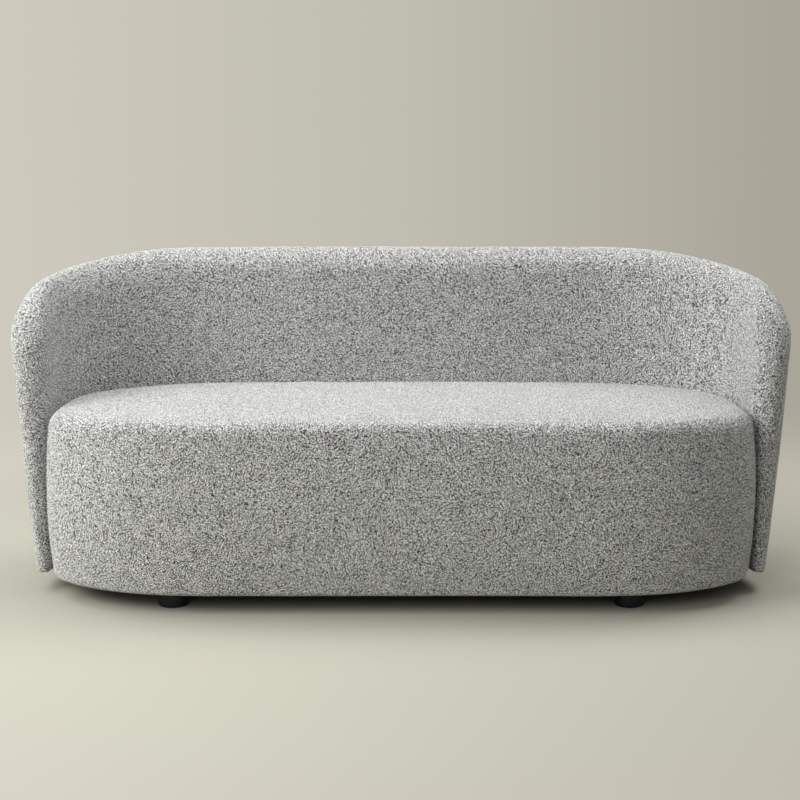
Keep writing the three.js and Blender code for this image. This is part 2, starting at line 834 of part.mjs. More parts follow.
// A zigzag spring: a wire that crosses from side to side between the two rails
function zigzagSpring(x) {
  const out = frameFace - railInset - railWidth - fit - wireRadius;
  const front = crossing(x, out, true);
  const back = crossing(x, out, false);
  const bends = Math.round((back - front) / springBend);
  const points = [];
  for (let k = 0; k <= bends; k += 1) {
    const t = k / bends;
    const side = k === 0 || k === bends ? 0 : (k % 2 ? 1 : -1);
    const z = wireHeight + springCrown * 4 * t * (1 - t);
    points.push(new THREE.Vector3(x + side * springHalfWidth, mix(front, back, t), z));
  }
  const curve = new THREE.CatmullRomCurve3(points, false, 'catmullrom', wireTightness);
  const wire = new THREE.EllipseCurve(0, 0, wireRadius, wireRadius).getPoints(wireSides).slice(0, -1);
  const steps = bends * wireStepsPerBend;
  return new THREE.ExtrudeGeometry(new THREE.Shape(wire), { steps, extrudePath: curve, bevelEnabled: false });
}

function addBase(holes) {
  const board = drumSlab(frameFace, boardBottom, boardTop);
  const card = drumBand(cardFace - cardThickness, cardFace, boardBottom, deckHeight - fit);
  const cloth = drumSlab(-hemWidth - fit, dustBottom, dustBottom + dustThickness);
  add('base_bottom_board', cut(board, footHoles(teeBarrelRadius + fit)), plywood);
  add('base_plinth_hoop', cut(drumBand(plinthInner, frameFace, plinthBottom, plinthTop), holes), plywood);
  baseStudShares.forEach((share, k) => {
    const middle = share * ring.length;
    const post = Math.floor(middle);
    const half = baseStudWidth / 2 / ringAt(post).p.distanceTo(ringAt(post + 1).p);
    const points = quad(plinthInner, frameFace, plinthTop + fit, rimBottom - fit);
    add(`base_stud_${k + 1}`, drumStretch(middle - half, middle + half, points), plywood);
  });
  add('base_top_rim', drumBand(frameFace - rimWidth, frameFace, rimBottom, rimTop), plywood);
  add('base_wall_card', cut(card, holes), hardboard);
  add('base_dust_cover', cut(cloth, footHoles(screwHole)), dustCloth);
}

function addDeck() {
  add('spring_rail_front', springRail(true), steel);
  add('spring_rail_rear', springRail(false), steel);
  for (let k = 0; k < springCount; k += 1) {
    const x = (k - (springCount - 1) / 2) * springPitch;
    add(`zigzag_spring_${k + 1}`, zigzagSpring(x), steel);
  }
  add('spring_felt', drumSlab(frameFace, feltBottom, feltBottom + feltThickness), felt);
}

function addSeat(holes) {
  add('base_wall_foam', wallFoam(holes), foam);
  add('seat_foam', seatFoam(), foam);
  add('seat_side_cover', seatSideCover(holes), boucle);
  add('seat_top_cover', seatTopCover(), boucle);
}

function addShell(holes) {
  const hoop = (levelsOf) => laneStretch(levelsOf, hoopFaces);
  add('shell_bottom_hoop', cut(hoop(() => [laneBottom, hoopTop]), holes), plywood);
  add('shell_seat_hoop', hoop(() => [seatHoopBottom, leanStart]), plywood);
  add('shell_crest_hoop', hoop((size) => [crestBottom(size), crestTop(size)]), plywood);
  shellStudShares.forEach((share, k) => {
    const ends = [share * pathLength - shellStudWidth / 2, share * pathLength + shellStudWidth / 2];
    const stud = (levelsOf) => laneStretch(levelsOf, studFaces, ends);
    add(`shell_lower_stud_${k + 1}`, stud(() => [hoopTop + fit, seatHoopBottom - fit]), plywood);
    add(`shell_upper_stud_${k + 1}`, stud((size) => [leanStart + fit, crestBottom(size) - fit]), plywood);
  });
  const board = laneStretch(laneLevels, boardFaces);
  add('shell_inner_board', cut(board, holes), hardboard);
  add('shell_foam', shellFoam(holes), foam);
  add('shell_under_strip', shellUnderStrip(), dustCloth);
  for (const [name, geometry] of Object.entries(shellCovers(holes))) add(name, geometry, boucle);
}

const holes = boltShares.map(boltHole);
addFeet();
addBase(holes);
addDeck();
addSeat(holes);
addShell(holes);
boltShares.forEach((share, k) => add(`joint_bolt_${k + 1}`, jointBolt(share), steel));

// Brings the middle of the footprint to the origin
const box = new THREE.Box3().setFromObject(sofa);
const centre = box.getCenter(new THREE.Vector3());
for (const mesh of sofa.children) mesh.geometry.translate(-centre.x, -centre.y, -box.min.z);

export default sofa;
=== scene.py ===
# %% [markdown]
# # A curved sofa in looped wool fabric
# The sofa is an oval seat drum with a separate shell wrapped round its back and sides. The packed
# model gives every hidden part: boards, hoops, springs, bolts. This script makes what the eye
# sees: the covers as soft, slightly swollen cloth, the foam below them, the feet and the dust
# cloth, and the finish of every part. Everything is in metres, with the origin on the floor in the
# middle of the sofa, +Z up and the front towards -Y.

# %% Load the frame
import json
import math
from bisect import bisect_right

import bmesh
import bpy
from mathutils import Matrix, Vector


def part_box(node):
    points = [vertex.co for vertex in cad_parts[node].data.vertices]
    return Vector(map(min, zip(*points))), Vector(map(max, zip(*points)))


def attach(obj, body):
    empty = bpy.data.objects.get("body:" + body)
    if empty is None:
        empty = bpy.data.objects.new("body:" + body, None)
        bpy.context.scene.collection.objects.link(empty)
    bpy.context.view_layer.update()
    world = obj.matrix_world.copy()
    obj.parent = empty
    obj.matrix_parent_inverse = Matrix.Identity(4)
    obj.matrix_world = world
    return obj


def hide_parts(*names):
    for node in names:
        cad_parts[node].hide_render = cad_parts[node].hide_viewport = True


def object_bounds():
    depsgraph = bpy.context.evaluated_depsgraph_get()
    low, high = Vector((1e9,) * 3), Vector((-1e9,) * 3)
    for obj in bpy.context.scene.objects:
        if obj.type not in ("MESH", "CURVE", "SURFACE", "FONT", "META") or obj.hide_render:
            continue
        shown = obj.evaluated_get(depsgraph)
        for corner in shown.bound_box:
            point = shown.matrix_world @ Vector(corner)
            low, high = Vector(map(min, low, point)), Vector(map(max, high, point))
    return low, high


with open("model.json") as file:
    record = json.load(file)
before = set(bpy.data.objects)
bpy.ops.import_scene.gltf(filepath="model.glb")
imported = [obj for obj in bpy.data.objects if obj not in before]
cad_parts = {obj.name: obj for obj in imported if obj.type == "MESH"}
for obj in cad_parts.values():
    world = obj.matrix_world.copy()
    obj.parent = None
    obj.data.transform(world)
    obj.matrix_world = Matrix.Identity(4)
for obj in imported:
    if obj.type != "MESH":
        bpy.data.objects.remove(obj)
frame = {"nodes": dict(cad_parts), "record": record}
cad_low, cad_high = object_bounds()
print("frame:", len(frame["nodes"]), "parts, box", tuple(round(x, 3) for x in cad_high - cad_low))

# %% [markdown]
# ## Camera
# The photograph was taken with a long lens from in front of the seat, a little above it and tilted
# down. A long lens keeps the drum's sides nearly parallel. The distance, height and tilt come from
# the outline of the sofa in the picture, whose frame is square, and no shift is needed.

# %% Camera
CAMERA_PLACE = (-0.0023, -4.377, 1.164)
CAMERA_TILT = 9.57
CAMERA_LENS = 83.4
SENSOR = 36.0

camera_data = bpy.data.cameras.new("camera")
camera_data.lens = CAMERA_LENS
camera_data.sensor_width = SENSOR
camera = bpy.data.objects.new("camera", camera_data)
camera.location = CAMERA_PLACE
camera.rotation_euler = (math.radians(90 - CAMERA_TILT), 0, 0)
bpy.context.scene.collection.objects.link(camera)
bpy.context.scene.camera = camera
print("camera looks down by", CAMERA_TILT, "degrees through", CAMERA_LENS, "mm")

# %% [markdown]
# ## Colours and nodes
# Colours are written as the hex values that a paint program shows, and one function turns them
# into the linear numbers that a renderer adds and multiplies. One more function adds a shader
# node, with its settings and with what goes into its sockets, so that each material below reads as
# a short list.

# %% Helpers for materials
MM = 0.001


def colour(code):
    """The linear colour of an sRGB hex code."""
    parts = [int(code[k:k + 2], 16) / 255 for k in (1, 3, 5)]
    linear = [p / 12.92 if p <= 0.04045 else ((p + 0.055) / 1.055) ** 2.4 for p in parts]
    return (*linear, 1.0)


def put(tree, kind, into=None, stops=(), out=0, **settings):
    """Adds a shader node and gives one of its outputs. Into has a number, a colour or another
    node's output for each socket, and stops has the (position, hex code) pairs of a ramp."""
    made = tree.nodes.new("ShaderNode" + kind)
    for name, value in settings.items():
        setattr(made, name, value)
    for k, (position, code) in enumerate(stops):
        row = made.color_ramp.elements
        stop = row[k] if k < len(row) else row.new(position)
        stop.position, stop.color = position, colour(code)
    for name, value in (into or {}).items():
        socket = made.inputs[name]
        if isinstance(value, bpy.types.NodeSocket):
            tree.links.new(value, socket)
        else:
            socket.default_value = value
    return made.outputs[out]


def new_material(name, **fixed):
    """A material with a Principled shader, whose fixed values are set on its own sockets."""
    made = bpy.data.materials.new(name)
    made.use_nodes = True
    shader = made.node_tree.nodes["Principled BSDF"]
    for socket, value in fixed.items():
        shader.inputs[socket.replace("_", " ")].default_value = value
    return made, made.node_tree, shader


# %% [markdown]
# ## Heather boucle
# Boucle is woven from a yarn with loops, so its face is a dense crowd of small curls. Charcoal,
# mid grey and off-white fibres are spun together. Here the curls are cells of 2 mm, light where a
# loop stands up and dark in the gaps round it: the dark in the gaps is painted shade, where the
# loops would shade each other, and it gives most of the salt-and-pepper look. The grid of cells is
# turned away from every face of the sofa, and a soft noise bends it, so that the cells run together
# into short worms. They are drawn out a little from front to back, the way the nap lies. Some are
# darker as a whole, as the spun fibres are. The same cells give the bump. Loops of wool scatter
# light from their fibre ends: sheen makes the cloth paler where it is seen edge on, as on the seat
# and along the outline.

# %% Boucle material
CURL = 2.05 * MM
CURL_SCATTER = 0.75
NAP = 1.6
CURL_BEND = 2.0 * MM
BEND_SIZE = 8.0 * MM
GRID_TURN = (0.62, 0.48, 0.87)
LOOP_TOP, LOOP_FOOT = 0.1, 0.75
CONTRAST = 2.0
# Ramp from the painted shade in the gaps between loops to the lit loop tops, with the fibres' own
# charcoal to off-white.
YARNS_AND_GAP_SHADE = [(0.34, "#121211"), (0.44, "#70706e"), (0.535, "#dcdcd8"), (0.63, "#fffffc")]
SHADE_SHARE = 0.1
LOOP_HEIGHT = 1.1 * MM


def boucle_material():
    """Looped wool: a matt salt-and-pepper grain up close, mostly painted shade in the gaps between
    loops, and a soft pale edge where it turns.
    """
    made, tree, shader = new_material("boucle_wool", Roughness=0.96, Specular_IOR_Level=0.1,
                                      Sheen_Weight=0.42, Sheen_Roughness=0.55)
    place = put(tree, "TexCoord", out="Object")
    laid = put(tree, "Mapping", {"Vector": place, "Rotation": GRID_TURN, "Scale": (1, 1 / NAP, 1)})
    swirl = put(tree, "TexNoise", {"Vector": laid, "Scale": 1 / BEND_SIZE, "Detail": 1.0},
                out="Color")
    centred = put(tree, "VectorMath", {0: swirl, 1: (0.5, 0.5, 0.5)}, operation="SUBTRACT")
    bend = put(tree, "VectorMath", {0: centred, "Scale": 2 * CURL_BEND}, operation="SCALE")
    bent = put(tree, "VectorMath", {0: laid, 1: bend}, operation="ADD")
    low = put(tree, "TexVoronoi", {"Vector": bent, "Scale": 1 / CURL, "Randomness": CURL_SCATTER})
    spun = put(tree, "SeparateColor", {"Color": low.node.outputs["Color"]})
    # Painted shade: the colour darkens from each loop's top out to the gap round it, where loops
    # would shade each other.
    loop_painted_shade = put(tree, "MapRange", {"Value": low, "From Min": LOOP_TOP, "From Max": LOOP_FOOT,
                                  "To Min": 0.5 + CONTRAST / 2 - SHADE_SHARE / 2,
                                  "To Max": 0.5 - CONTRAST / 2 - SHADE_SHARE / 2}, clamp=False)
    shade = put(tree, "Math", {0: spun, 1: SHADE_SHARE, 2: loop_painted_shade}, operation="MULTIPLY_ADD")
    yarn_and_gap_shade = put(tree, "ValToRGB", {"Fac": shade}, YARNS_AND_GAP_SHADE)
    height = put(tree, "Math", {0: 1.0, 1: low}, operation="SUBTRACT")
    bump = put(tree, "Bump", {"Height": height, "Strength": 1.0, "Distance": LOOP_HEIGHT})
    tree.links.new(yarn_and_gap_shade, shader.inputs["Base Color"])
    tree.links.new(bump, shader.inputs["Normal"])
    return made


BOUCLE = boucle_material()
print("fabric:", BOUCLE.name, "with", len(BOUCLE.node_tree.nodes), "nodes")

# %% [markdown]
# ## Finishes of the frame and the small parts
# Below the fabric are birch plywood, hardboard, polyurethane foam, needled felt, black non-woven
# dust cloth, zinc-plated and drawn steel, and the moulded black plastic of the feet. Each gets the
# one or two patterns that the real stuff shows: grain lines in wood, open cells in foam, tangled
# fibres in felt. The patterns are laid out in Object coordinates, in the real sizes given beside
# them.

# %% Materials of the inside
GRAIN_WIDTH = 2.5 * MM
GRAIN_LENGTH = 60 * MM
FOAM_CELL = 1.2 * MM
FELT_FIBRE = 2.0 * MM
SPUN_DOT = 1.5 * MM
CAST_GRAIN = 0.6 * MM
DRAWN_LINE = 0.5 * MM
DRAWN_LENGTH = 5 * MM
TINT_LOW, TINT_HIGH = 0.3, 0.7


def patterned(name, low, high, size, stretch=(1, 1, 1), bump=0.3, depth=0.3 * MM, **fixed):
    """A finish whose colour and bump follow a noise of one real size, between two hex codes."""
    made, tree, shader = new_material(name, **fixed)
    place = put(tree, "TexCoord", out="Object")
    laid = put(tree, "Mapping", {"Vector": place, "Scale": tuple(s / size for s in stretch)})
    level = put(tree, "TexNoise", {"Vector": laid, "Scale": 1.0, "Detail": 3.0})
    tint = put(tree, "ValToRGB", {"Fac": level}, [(TINT_LOW, low), (TINT_HIGH, high)])
    raised = put(tree, "Bump", {"Height": level, "Strength": bump, "Distance": depth})
    tree.links.new(tint, shader.inputs["Base Color"])
    tree.links.new(raised, shader.inputs["Normal"])
    return made


wood_stretch = (GRAIN_WIDTH / GRAIN_LENGTH, 1, 1)
drawn_stretch = (DRAWN_LINE / DRAWN_LENGTH, 1, 1)
FINISHES = {
    # Rotary-cut birch veneer, sanded: pale straw with long soft grain lines and a dull silky shine.
    "plywood": patterned("birch_plywood", "#b08d5c", "#d9bd8d", GRAIN_WIDTH, wood_stretch,
                         Roughness=0.62),
    # Pressed wood fibre: a flat brown with a fine mottle and no direction.
    "hardboard": patterned("hardboard", "#6e5037", "#8d6b4b", FELT_FIBRE, Roughness=0.75),
    # Cut polyurethane foam, yellowed a little by age: creamy, dry, and pricked by its open cells.
    "upholstery_foam": patterned("polyurethane_foam", "#d3c68f", "#efe6c2", FOAM_CELL, bump=0.8,
                                 Roughness=0.9),
    # Needled recycled fibre: a dark grey tangle, quite without shine.
    "felt_pad": patterned("needled_felt", "#4d4d4a", "#83827e", FELT_FIBRE, bump=0.7,
                          Roughness=0.95),
    # Spun-bonded polypropylene: near black, dry, and dotted by its bonding points.
    "dust_cloth": patterned("spun_dust_cloth", "#1f1f22", "#3b3b40", SPUN_DOT, bump=0.5,
                            Roughness=0.9),
    # Moulded ABS with a spark-eroded skin: deep black that breaks a highlight into a soft patch.
    "black_plastic": patterned("moulded_black_abs", "#09090a", "#101011", CAST_GRAIN, bump=0.15,
                               depth=0.05 * MM, Roughness=0.42, Specular_IOR_Level=0.35),
    # Cold-drawn spring wire and zinc-plated screws: bright grey with hair-fine drawn lines.
    "steel": patterned("drawn_steel", "#9fa3a8", "#b9bdc2", DRAWN_LINE, drawn_stretch, bump=0.1,
                       Roughness=0.34, Metallic=1.0),
    # The boucle of the covers, described above.
    "boucle_fabric": BOUCLE,
}
print("finishes:", ", ".join(m.name for m in FINISHES.values()))

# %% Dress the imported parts
slots = {row["node"]: row["material_slot"] for row in frame["record"]["subparts"]}
for name, part in frame["nodes"].items():
    part.data.materials.clear()
    part.data.materials.append(FINISHES[slots[name]])
print("dressed", len(slots), "packed parts")

# %% [markdown]
# ## The plan line
# One closed line rules the whole sofa: the drum's wall follows it and the shell is laid round it.
# A cubic B-spline led by a few given points is smooth everywhere, which matters because
# every cover repeats its bends. The points are shares of the half width and the depth. The line is
# measured once in small steps, so that any place on it can be asked for by its distance from the
# middle of the front.

# %% Plan line
PLAN_HALF_WIDTH = 0.816
PLAN_DEPTH = 0.612
PLAN_FRONT = -0.37704
PLAN_SHARES = [
    (0, 0), (0.306, 0), (0.6, -0.0065), (0.784, 0.033), (0.9975, 0.212),
    (1, 0.4575), (0.919, 0.763), (0.68, 0.974), (0.337, 0.984), (0, 1),
]
PLAN_STEPS = 60
PLAN_REACH = 2 * MM


def plan_half():
    """Places on the right half of the plan line, from the front's middle to the back's."""
    knots = [Vector((x * PLAN_HALF_WIDTH, y * PLAN_DEPTH)) for x, y in PLAN_SHARES]
    knots = [Vector((-knots[1].x, knots[1].y)), *knots, Vector((-knots[-2].x, knots[-2].y))]
    line = []
    for a, b, c, d in zip(knots, knots[1:], knots[2:], knots[3:]):
        for k in range(PLAN_STEPS):
            t = k / PLAN_STEPS
            weights = ((1 - t) ** 3, 3 * t ** 3 - 6 * t ** 2 + 4,
                       -3 * t ** 3 + 3 * t ** 2 + 3 * t + 1, t ** 3)
            line.append(sum((p * w for p, w in zip((a, b, c, d), weights)), Vector((0, 0))) / 6)
    line.append((knots[-3] + knots[-2] * 4 + knots[-1]) / 6)
    return line


plan_line = plan_half()
plan_marks = [0.0]
for a, b in zip(plan_line, plan_line[1:]):
    plan_marks.append(plan_marks[-1] + (b - a).length)
HALF_ROUND = plan_marks[-1]


def plan_spot(s):
    """The place on the plan line at a distance from the front's middle, anticlockwise."""
    s = s % (2 * HALF_ROUND)
    left = s > HALF_ROUND
    s = 2 * HALF_ROUND - s if left else s
    k = min(bisect_right(plan_marks, s), len(plan_marks) - 1)
    t = (s - plan_marks[k - 1]) / (plan_marks[k] - plan_marks[k - 1])
    spot = plan_line[k - 1].lerp(plan_line[k], t)
    return Vector((-spot.x, spot.y)) if left else spot


def plan_post(s):
    """The place at s and the direction square to the line there, pointing out of the drum."""
    along = plan_spot(s + PLAN_REACH) - plan_spot(s - PLAN_REACH)
    along.normalize()
    return plan_spot(s), Vector((along.y, -along.x))


def put_out(post, out, z):
    """A point at a distance out of the plan line and a height, in the sofa's own frame."""
    spot, outward = post
    return Vector((spot.x + outward.x * out, PLAN_FRONT + spot.y + outward.y * out, z))


print("plan line:", round(2 * HALF_ROUND, 3), "m round")

# %% [markdown]
# ## Small helpers for cloth
# Each cover is drawn as rows of points, one above the other. Its mesh starts as the first row
# alone, and each further row is an extrusion of the last one, moved to its place: the way a maker
# would draw up a sleeve. Extruding keeps the grid clean, which a subdivision surface and a cloth
# simulation both like. At the end the cover's free edges are extruded once more, into the foam:
# that is the seam allowance, and it makes the fine dark valley between two covers that meet.

# %% Helpers for cloth
LIP_DEPTH = 10 * MM
LIP_LEAN = 5 * MM
FOLD = 0.7
MERGE = 0.05 * MM


def smooth(t):
    """A soft step from 0 to 1 while t goes from 0 to 1."""
    t = min(1.0, max(0.0, t))
    return t * t * (3 - 2 * t)


def mix(a, b, t):
    """The value a share t of the way from a to b."""
    return a + (b - a) * t


def spread(low, high, step):
    """Values from low to high in even steps of about the given size, both ends included."""
    count = max(1, round(abs(high - low) / step))
    return [mix(low, high, k / count) for k in range(count + 1)]


def draw_up(rows, closed):
    """A sheet through rows of points: the first row is extruded to each next one."""
    sheet = bmesh.new()
    level = sheet.verts.layers.int.new("row")
    column = sheet.verts.layers.int.new("column")
    row = [sheet.verts.new(point) for point in rows[0]]
    for k, vert in enumerate(row):
        vert[column] = k
    ends = zip(row, row[1:] + row[:1]) if closed else zip(row, row[1:])
    edges = [sheet.edges.new(pair) for pair in ends]
    for number, points in enumerate(rows[1:], 1):
        grown = bmesh.ops.extrude_edge_only(sheet, edges=edges)["geom"]
        fresh = {g for g in grown if isinstance(g, bmesh.types.BMVert)}
        edges = [g for g in grown if isinstance(g, bmesh.types.BMEdge) and set(g.verts) <= fresh]
        for vert in fresh:
            vert.co = points[vert[column]]
            vert[level] = number
    return sheet


def face_outwards(sheet, rows):
    """Turns the sheet's faces so that they look along (next column) x (next row)."""
    row, above = rows[len(rows) // 4], rows[len(rows) // 4 + 1]
    k = len(row) // 2
    outwards = (row[k + 1] - row[k]).cross(above[k] - row[k])
    middle = (row[k] + above[k + 1]) / 2
    sheet.normal_update()
    nearest = min(sheet.faces, key=lambda f: (f.calc_center_median() - middle).length)
    if nearest.normal.dot(outwards) < 0:
        bmesh.ops.reverse_faces(sheet, faces=sheet.faces[:])


def in_order(sheet):
    """Sorts edges and faces by the points they join. An extrusion leaves them in a chance order,
    and the cloth simulation gives the same result each run only if it is always the same."""
    sheet.verts.index_update()
    count = len(sheet.verts)

    def place(item):
        numbers = sorted(vert.index for vert in item.verts)
        return (numbers[0] * count + numbers[1]) * count + numbers[-1]

    sheet.edges.sort(key=place)
    sheet.faces.sort(key=place)


def finish_mesh(sheet, name, finish):
    """Makes the sheet an object of that name, smooth shaded and dressed."""
    in_order(sheet)
    mesh = bpy.data.meshes.new(name)
    sheet.to_mesh(mesh)
    sheet.free()
    mesh.shade_smooth()
    mesh.materials.append(finish)
    piece = bpy.data.objects.new(name, mesh)
    bpy.context.scene.collection.objects.link(piece)
    return piece


def add_lips(piece):
    """Extrudes every free edge of a piece into the foam behind it, leaning out under its
    neighbour's, so that no foam shows between two covers."""
    sheet = bmesh.new()
    sheet.from_mesh(piece.data)
    sheet.normal_update()
    number = sheet.verts.layers.int.new("number")
    crease = sheet.edges.layers.float.new("crease_edge")
    leans = {}
    free = [e for e in sheet.edges if e.is_boundary]
    for edge in free:
        edge[crease] = FOLD
        run = (edge.verts[1].co - edge.verts[0].co).normalized()
        lean = (edge.verts[0].co + edge.verts[1].co) / 2 - edge.link_faces[0].calc_center_median()
        lean -= run * lean.dot(run)
        for vert in edge.verts:
            leans[vert] = leans.get(vert, Vector()) + lean.normalized()
    for vert in sheet.verts:
        vert[number] = vert.index
    moves = {v.index: lean.normalized() * LIP_LEAN - v.normal * LIP_DEPTH
             for v, lean in leans.items()}
    grown = bmesh.ops.extrude_edge_only(sheet, edges=free)["geom"]
    for vert in (g for g in grown if isinstance(g, bmesh.types.BMVert)):
        vert.co += moves[vert[number]]
    in_order(sheet)
    sheet.to_mesh(piece.data)
    sheet.free()
    piece.data.shade_smooth()


# %% [markdown]
# ## How a cover fills out
# A cover is sewn a little small and pulled over foam, so it lies sunk at its seams and full
# between them. That is simulated: the sheet starts 3 mm inside its final place, its free edges are
# pinned where the sewing holds them, and air pressure lifts the rest for twenty frames of
# Blender's cloth. No point may move more than a cap, because foam and webbing would stop it.

# %% Fill a cover
SWELL = 3 * MM
SWELL_LEAST, SWELL_MOST = 2 * MM, 4.5 * MM
SLIDE_CAP = 1 * MM
SEAM_RISE = 1.6 * MM
CLOTH_FRAMES = 20
PRESSURE = 4.0
STIFFNESS = 40


def free_edge(mesh):
    """The numbers of the points on the free edges."""
    uses = {}
    for face in mesh.polygons:
        for key in face.edge_keys:
            uses[key] = uses.get(key, 0) + 1
    return {v for key, count in uses.items() if count == 1 for v in key}


def lifted(piece, pinned):
    """Where a cloth simulation takes each point."""
    group = piece.vertex_groups.new(name="sewn")
    group.add(pinned, 1.0, "REPLACE")
    cloth = piece.modifiers.new("fill", "CLOTH")
    cloth.settings.vertex_group_mass = group.name
    cloth.settings.effector_weights.gravity = 0
    cloth.settings.use_pressure = True
    cloth.settings.uniform_pressure_force = PRESSURE
    cloth.settings.tension_stiffness = cloth.settings.compression_stiffness = STIFFNESS
    cloth.collision_settings.use_collision = False
    for number in range(1, CLOTH_FRAMES + 1):
        bpy.context.scene.frame_set(number)
    shaped = piece.evaluated_get(bpy.context.evaluated_depsgraph_get()).data
    places = [v.co.copy() for v in shaped.vertices]
    piece.modifiers.remove(cloth)
    piece.vertex_groups.remove(group)
    bpy.context.scene.frame_set(1)
    return places


def fill_out(piece, seams):
    """Moves the points of a cover to where its padding holds them. The foam keeps a point from
    sinking and the weave keeps it from rising or sliding further than a little."""
    mesh = piece.data
    pinned = free_edge(mesh) | seams
    normals = [v.normal.copy() for v in mesh.vertices]
    places = [v.co + n * SWELL for v, n in zip(mesh.vertices, normals)]
    places = lifted(piece, sorted(pinned))
    rises = []
    for vert, normal, place in zip(mesh.vertices, normals, places):
        step = place - vert.co
        rise = step.dot(normal)
        slide = step - normal * rise
        slide.length = min(slide.length, SLIDE_CAP)
        rises.append(SEAM_RISE if vert.index in pinned else min(max(rise, SWELL_LEAST), SWELL_MOST))
        vert.co += slide + normal * rises[-1]
    print(piece.name, "filled out by", round(1000 * sum(rises) / len(rises), 1), "mm on average")


# %% [markdown]
# ## From a sheet to a finished cover
# Every cover goes through the same steps: draw up its rows, sink it by the swell, fill it out,
# give its free edges their seam allowance, and then add the modifiers that make it boucle. Two
# levels of subdivision bring the 13 mm grid down to about 3 mm, which is fine enough for the curls
# to be real bumps: one Displace modifier lifts a cell-like pattern of 8 mm, a second one a finer
# noise, and a third one the slow waves that hand-pulled cloth always has. They also break up the
# outline, which on this cloth is never a clean line.

# %% Make a cover
GRID = 13 * MM
HOLD = 4 * MM
NUB = 8 * MM
NUB_LIFT = 0.25 * MM
FUZZ = 3.5 * MM
FUZZ_LIFT = 0.5 * MM
WAVE = 140 * MM
WAVE_LIFT = 2.0 * MM


def relief(piece, kind, size, lift):
    """Pushes the surface out and in by a solid texture of a real size."""
    label = kind + str(size)
    texture = bpy.data.textures.get(label) or bpy.data.textures.new(label, kind)
    texture.noise_scale = size
    push = piece.modifiers.new(kind.lower(), "DISPLACE")
    push.texture = texture
    push.texture_coords = "LOCAL"
    push.strength = lift


def subdivide(piece, levels):
    """Rounds a piece by a subdivision surface, the same on screen and in a render."""
    finer = piece.modifiers.new("finer", "SUBSURF")
    finer.levels = finer.render_levels = levels
    finer.boundary_smooth = "PRESERVE_CORNERS"


def cover(name, rows, closed, stands_for, valleys=lambda row, column: 0.0):
    """A boucle cover through rows of points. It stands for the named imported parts, and valleys
    tells how deep a sewn line pulls down the point at a row and column."""
    sheet = draw_up(rows, closed)
    face_outwards(sheet, rows)
    bmesh.ops.remove_doubles(sheet, verts=sheet.verts[:], dist=MERGE)
    sheet.normal_update()
    row, column = sheet.verts.layers.int["row"], sheet.verts.layers.int["column"]
    normals = [v.normal.copy() for v in sheet.verts]
    depths = [valleys(v[row], v[column]) for v in sheet.verts]
    for vert, normal in zip(sheet.verts, normals):
        vert.co -= normal * SWELL
    piece = finish_mesh(sheet, name, BOUCLE)
    fill_out(piece, {k for k, depth in enumerate(depths) if depth > 0})
    for vert, normal, depth in zip(piece.data.vertices, normals, depths):
        vert.co -= normal * depth
    add_lips(piece)
    subdivide(piece, 2)
    relief(piece, "VORONOI", NUB, -NUB_LIFT)
    relief(piece, "CLOUDS", FUZZ, FUZZ_LIFT)
    relief(piece, "CLOUDS", WAVE, WAVE_LIFT)
    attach(piece, "root")
    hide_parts(*stands_for)


# %% [markdown]
# ## The drum's shape
# The drum's wall bulges a little between its edges where it isn't hidden by the shell. Its lower
# edge is a small round, and its upper one a large soft one. It is a little crisper along the
# straight front, where the cloth is pulled hardest, and gets tighter at the back, where the seat
# meets the shell. The seat's top is all but flat, with a crown of 3 mm.

# %% Sizes and sections of the drum
SEAT_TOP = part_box("seat_top_cover")[1].z
FLOOR_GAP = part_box("seat_side_cover")[0].z
CROWN = 3 * MM
CROWN_POWER = 3
DRUM_TOP = SEAT_TOP - CROWN
TOP_RADIUS = 40 * MM
TOP_ARC, LOW_ARC = 0.33, 0.5
BOTTOM_RADIUS = 16 * MM
HEM = 48 * MM
BULGE = 15 * MM
BULGE_START = 0.17
BULGE_FADE = 0.05
TIGHT_START = 0.22
TIGHT_RUN = 0.20
TIGHT_SHARE = 0.8
CRISP_SHARE = 0.3
CRISP_END = 0.01
CRISP_RUN = 0.10
SEAM_GAP = 0.2 * MM
SEAM_ANGLE = math.radians(45)


def bulge(post, z):
    """How far the drum's wall stands out of the plan line at a height."""
    middle = (FLOOR_GAP + DRUM_TOP) / 2
    v = (z - middle) / (DRUM_TOP - middle)
    return BULGE * (1 - smooth((post[0].y - BULGE_START) / BULGE_FADE)) * (1 - v * v)


def wall_spot(post, z, inset=0.0):
    """A point on the drum's wall at a height."""
    return put_out(post, bulge(post, z) - inset, z)


def top_edge(post, angle, inset=0.0):
    """A point on the rounded upper edge, from 0 at the wall to a right angle at the seat's flat."""
    rise = TOP_RADIUS * (1 - CRISP_SHARE * (1 - smooth((post[0].y - CRISP_END) / CRISP_RUN)))
    depth = rise * (1 - TIGHT_SHARE * smooth((post[0].y - TIGHT_START) / TIGHT_RUN))
    start = DRUM_TOP - rise
    out = -depth + (depth - inset + bulge(post, start)) * math.cos(angle)
    return put_out(post, out, start + (rise - inset) * math.sin(angle))


def low_edge(post, angle, inset=0.0):
    """A point on the rounded lower edge, from 0 at the underside to a right angle at the wall."""
    reach = BOTTOM_RADIUS - inset
    middle = FLOOR_GAP + BOTTOM_RADIUS
    out = (reach + bulge(post, middle)) * math.sin(angle) - BOTTOM_RADIUS
    return put_out(post, out, middle - reach * math.cos(angle))


print("drum from", round(FLOOR_GAP, 3), "to", round(SEAT_TOP, 3), "m above the floor")

# %% [markdown]
# ## Seat side cover
# The side cover runs from a hem under the drum, round the lower edge and up the wall to the seam
# on the soft upper edge. Its grid is 13 mm where it shows and wide behind the shell, where only
# the shell's foam touches it.

# %% Seat side cover
ARM_END = 0.205
HIDDEN_GRID = 45 * MM
ARM_MARK = next(s for s, p in zip(plan_marks, plan_line)
                if p.x > PLAN_HALF_WIDTH / 2 and p.y >= ARM_END)


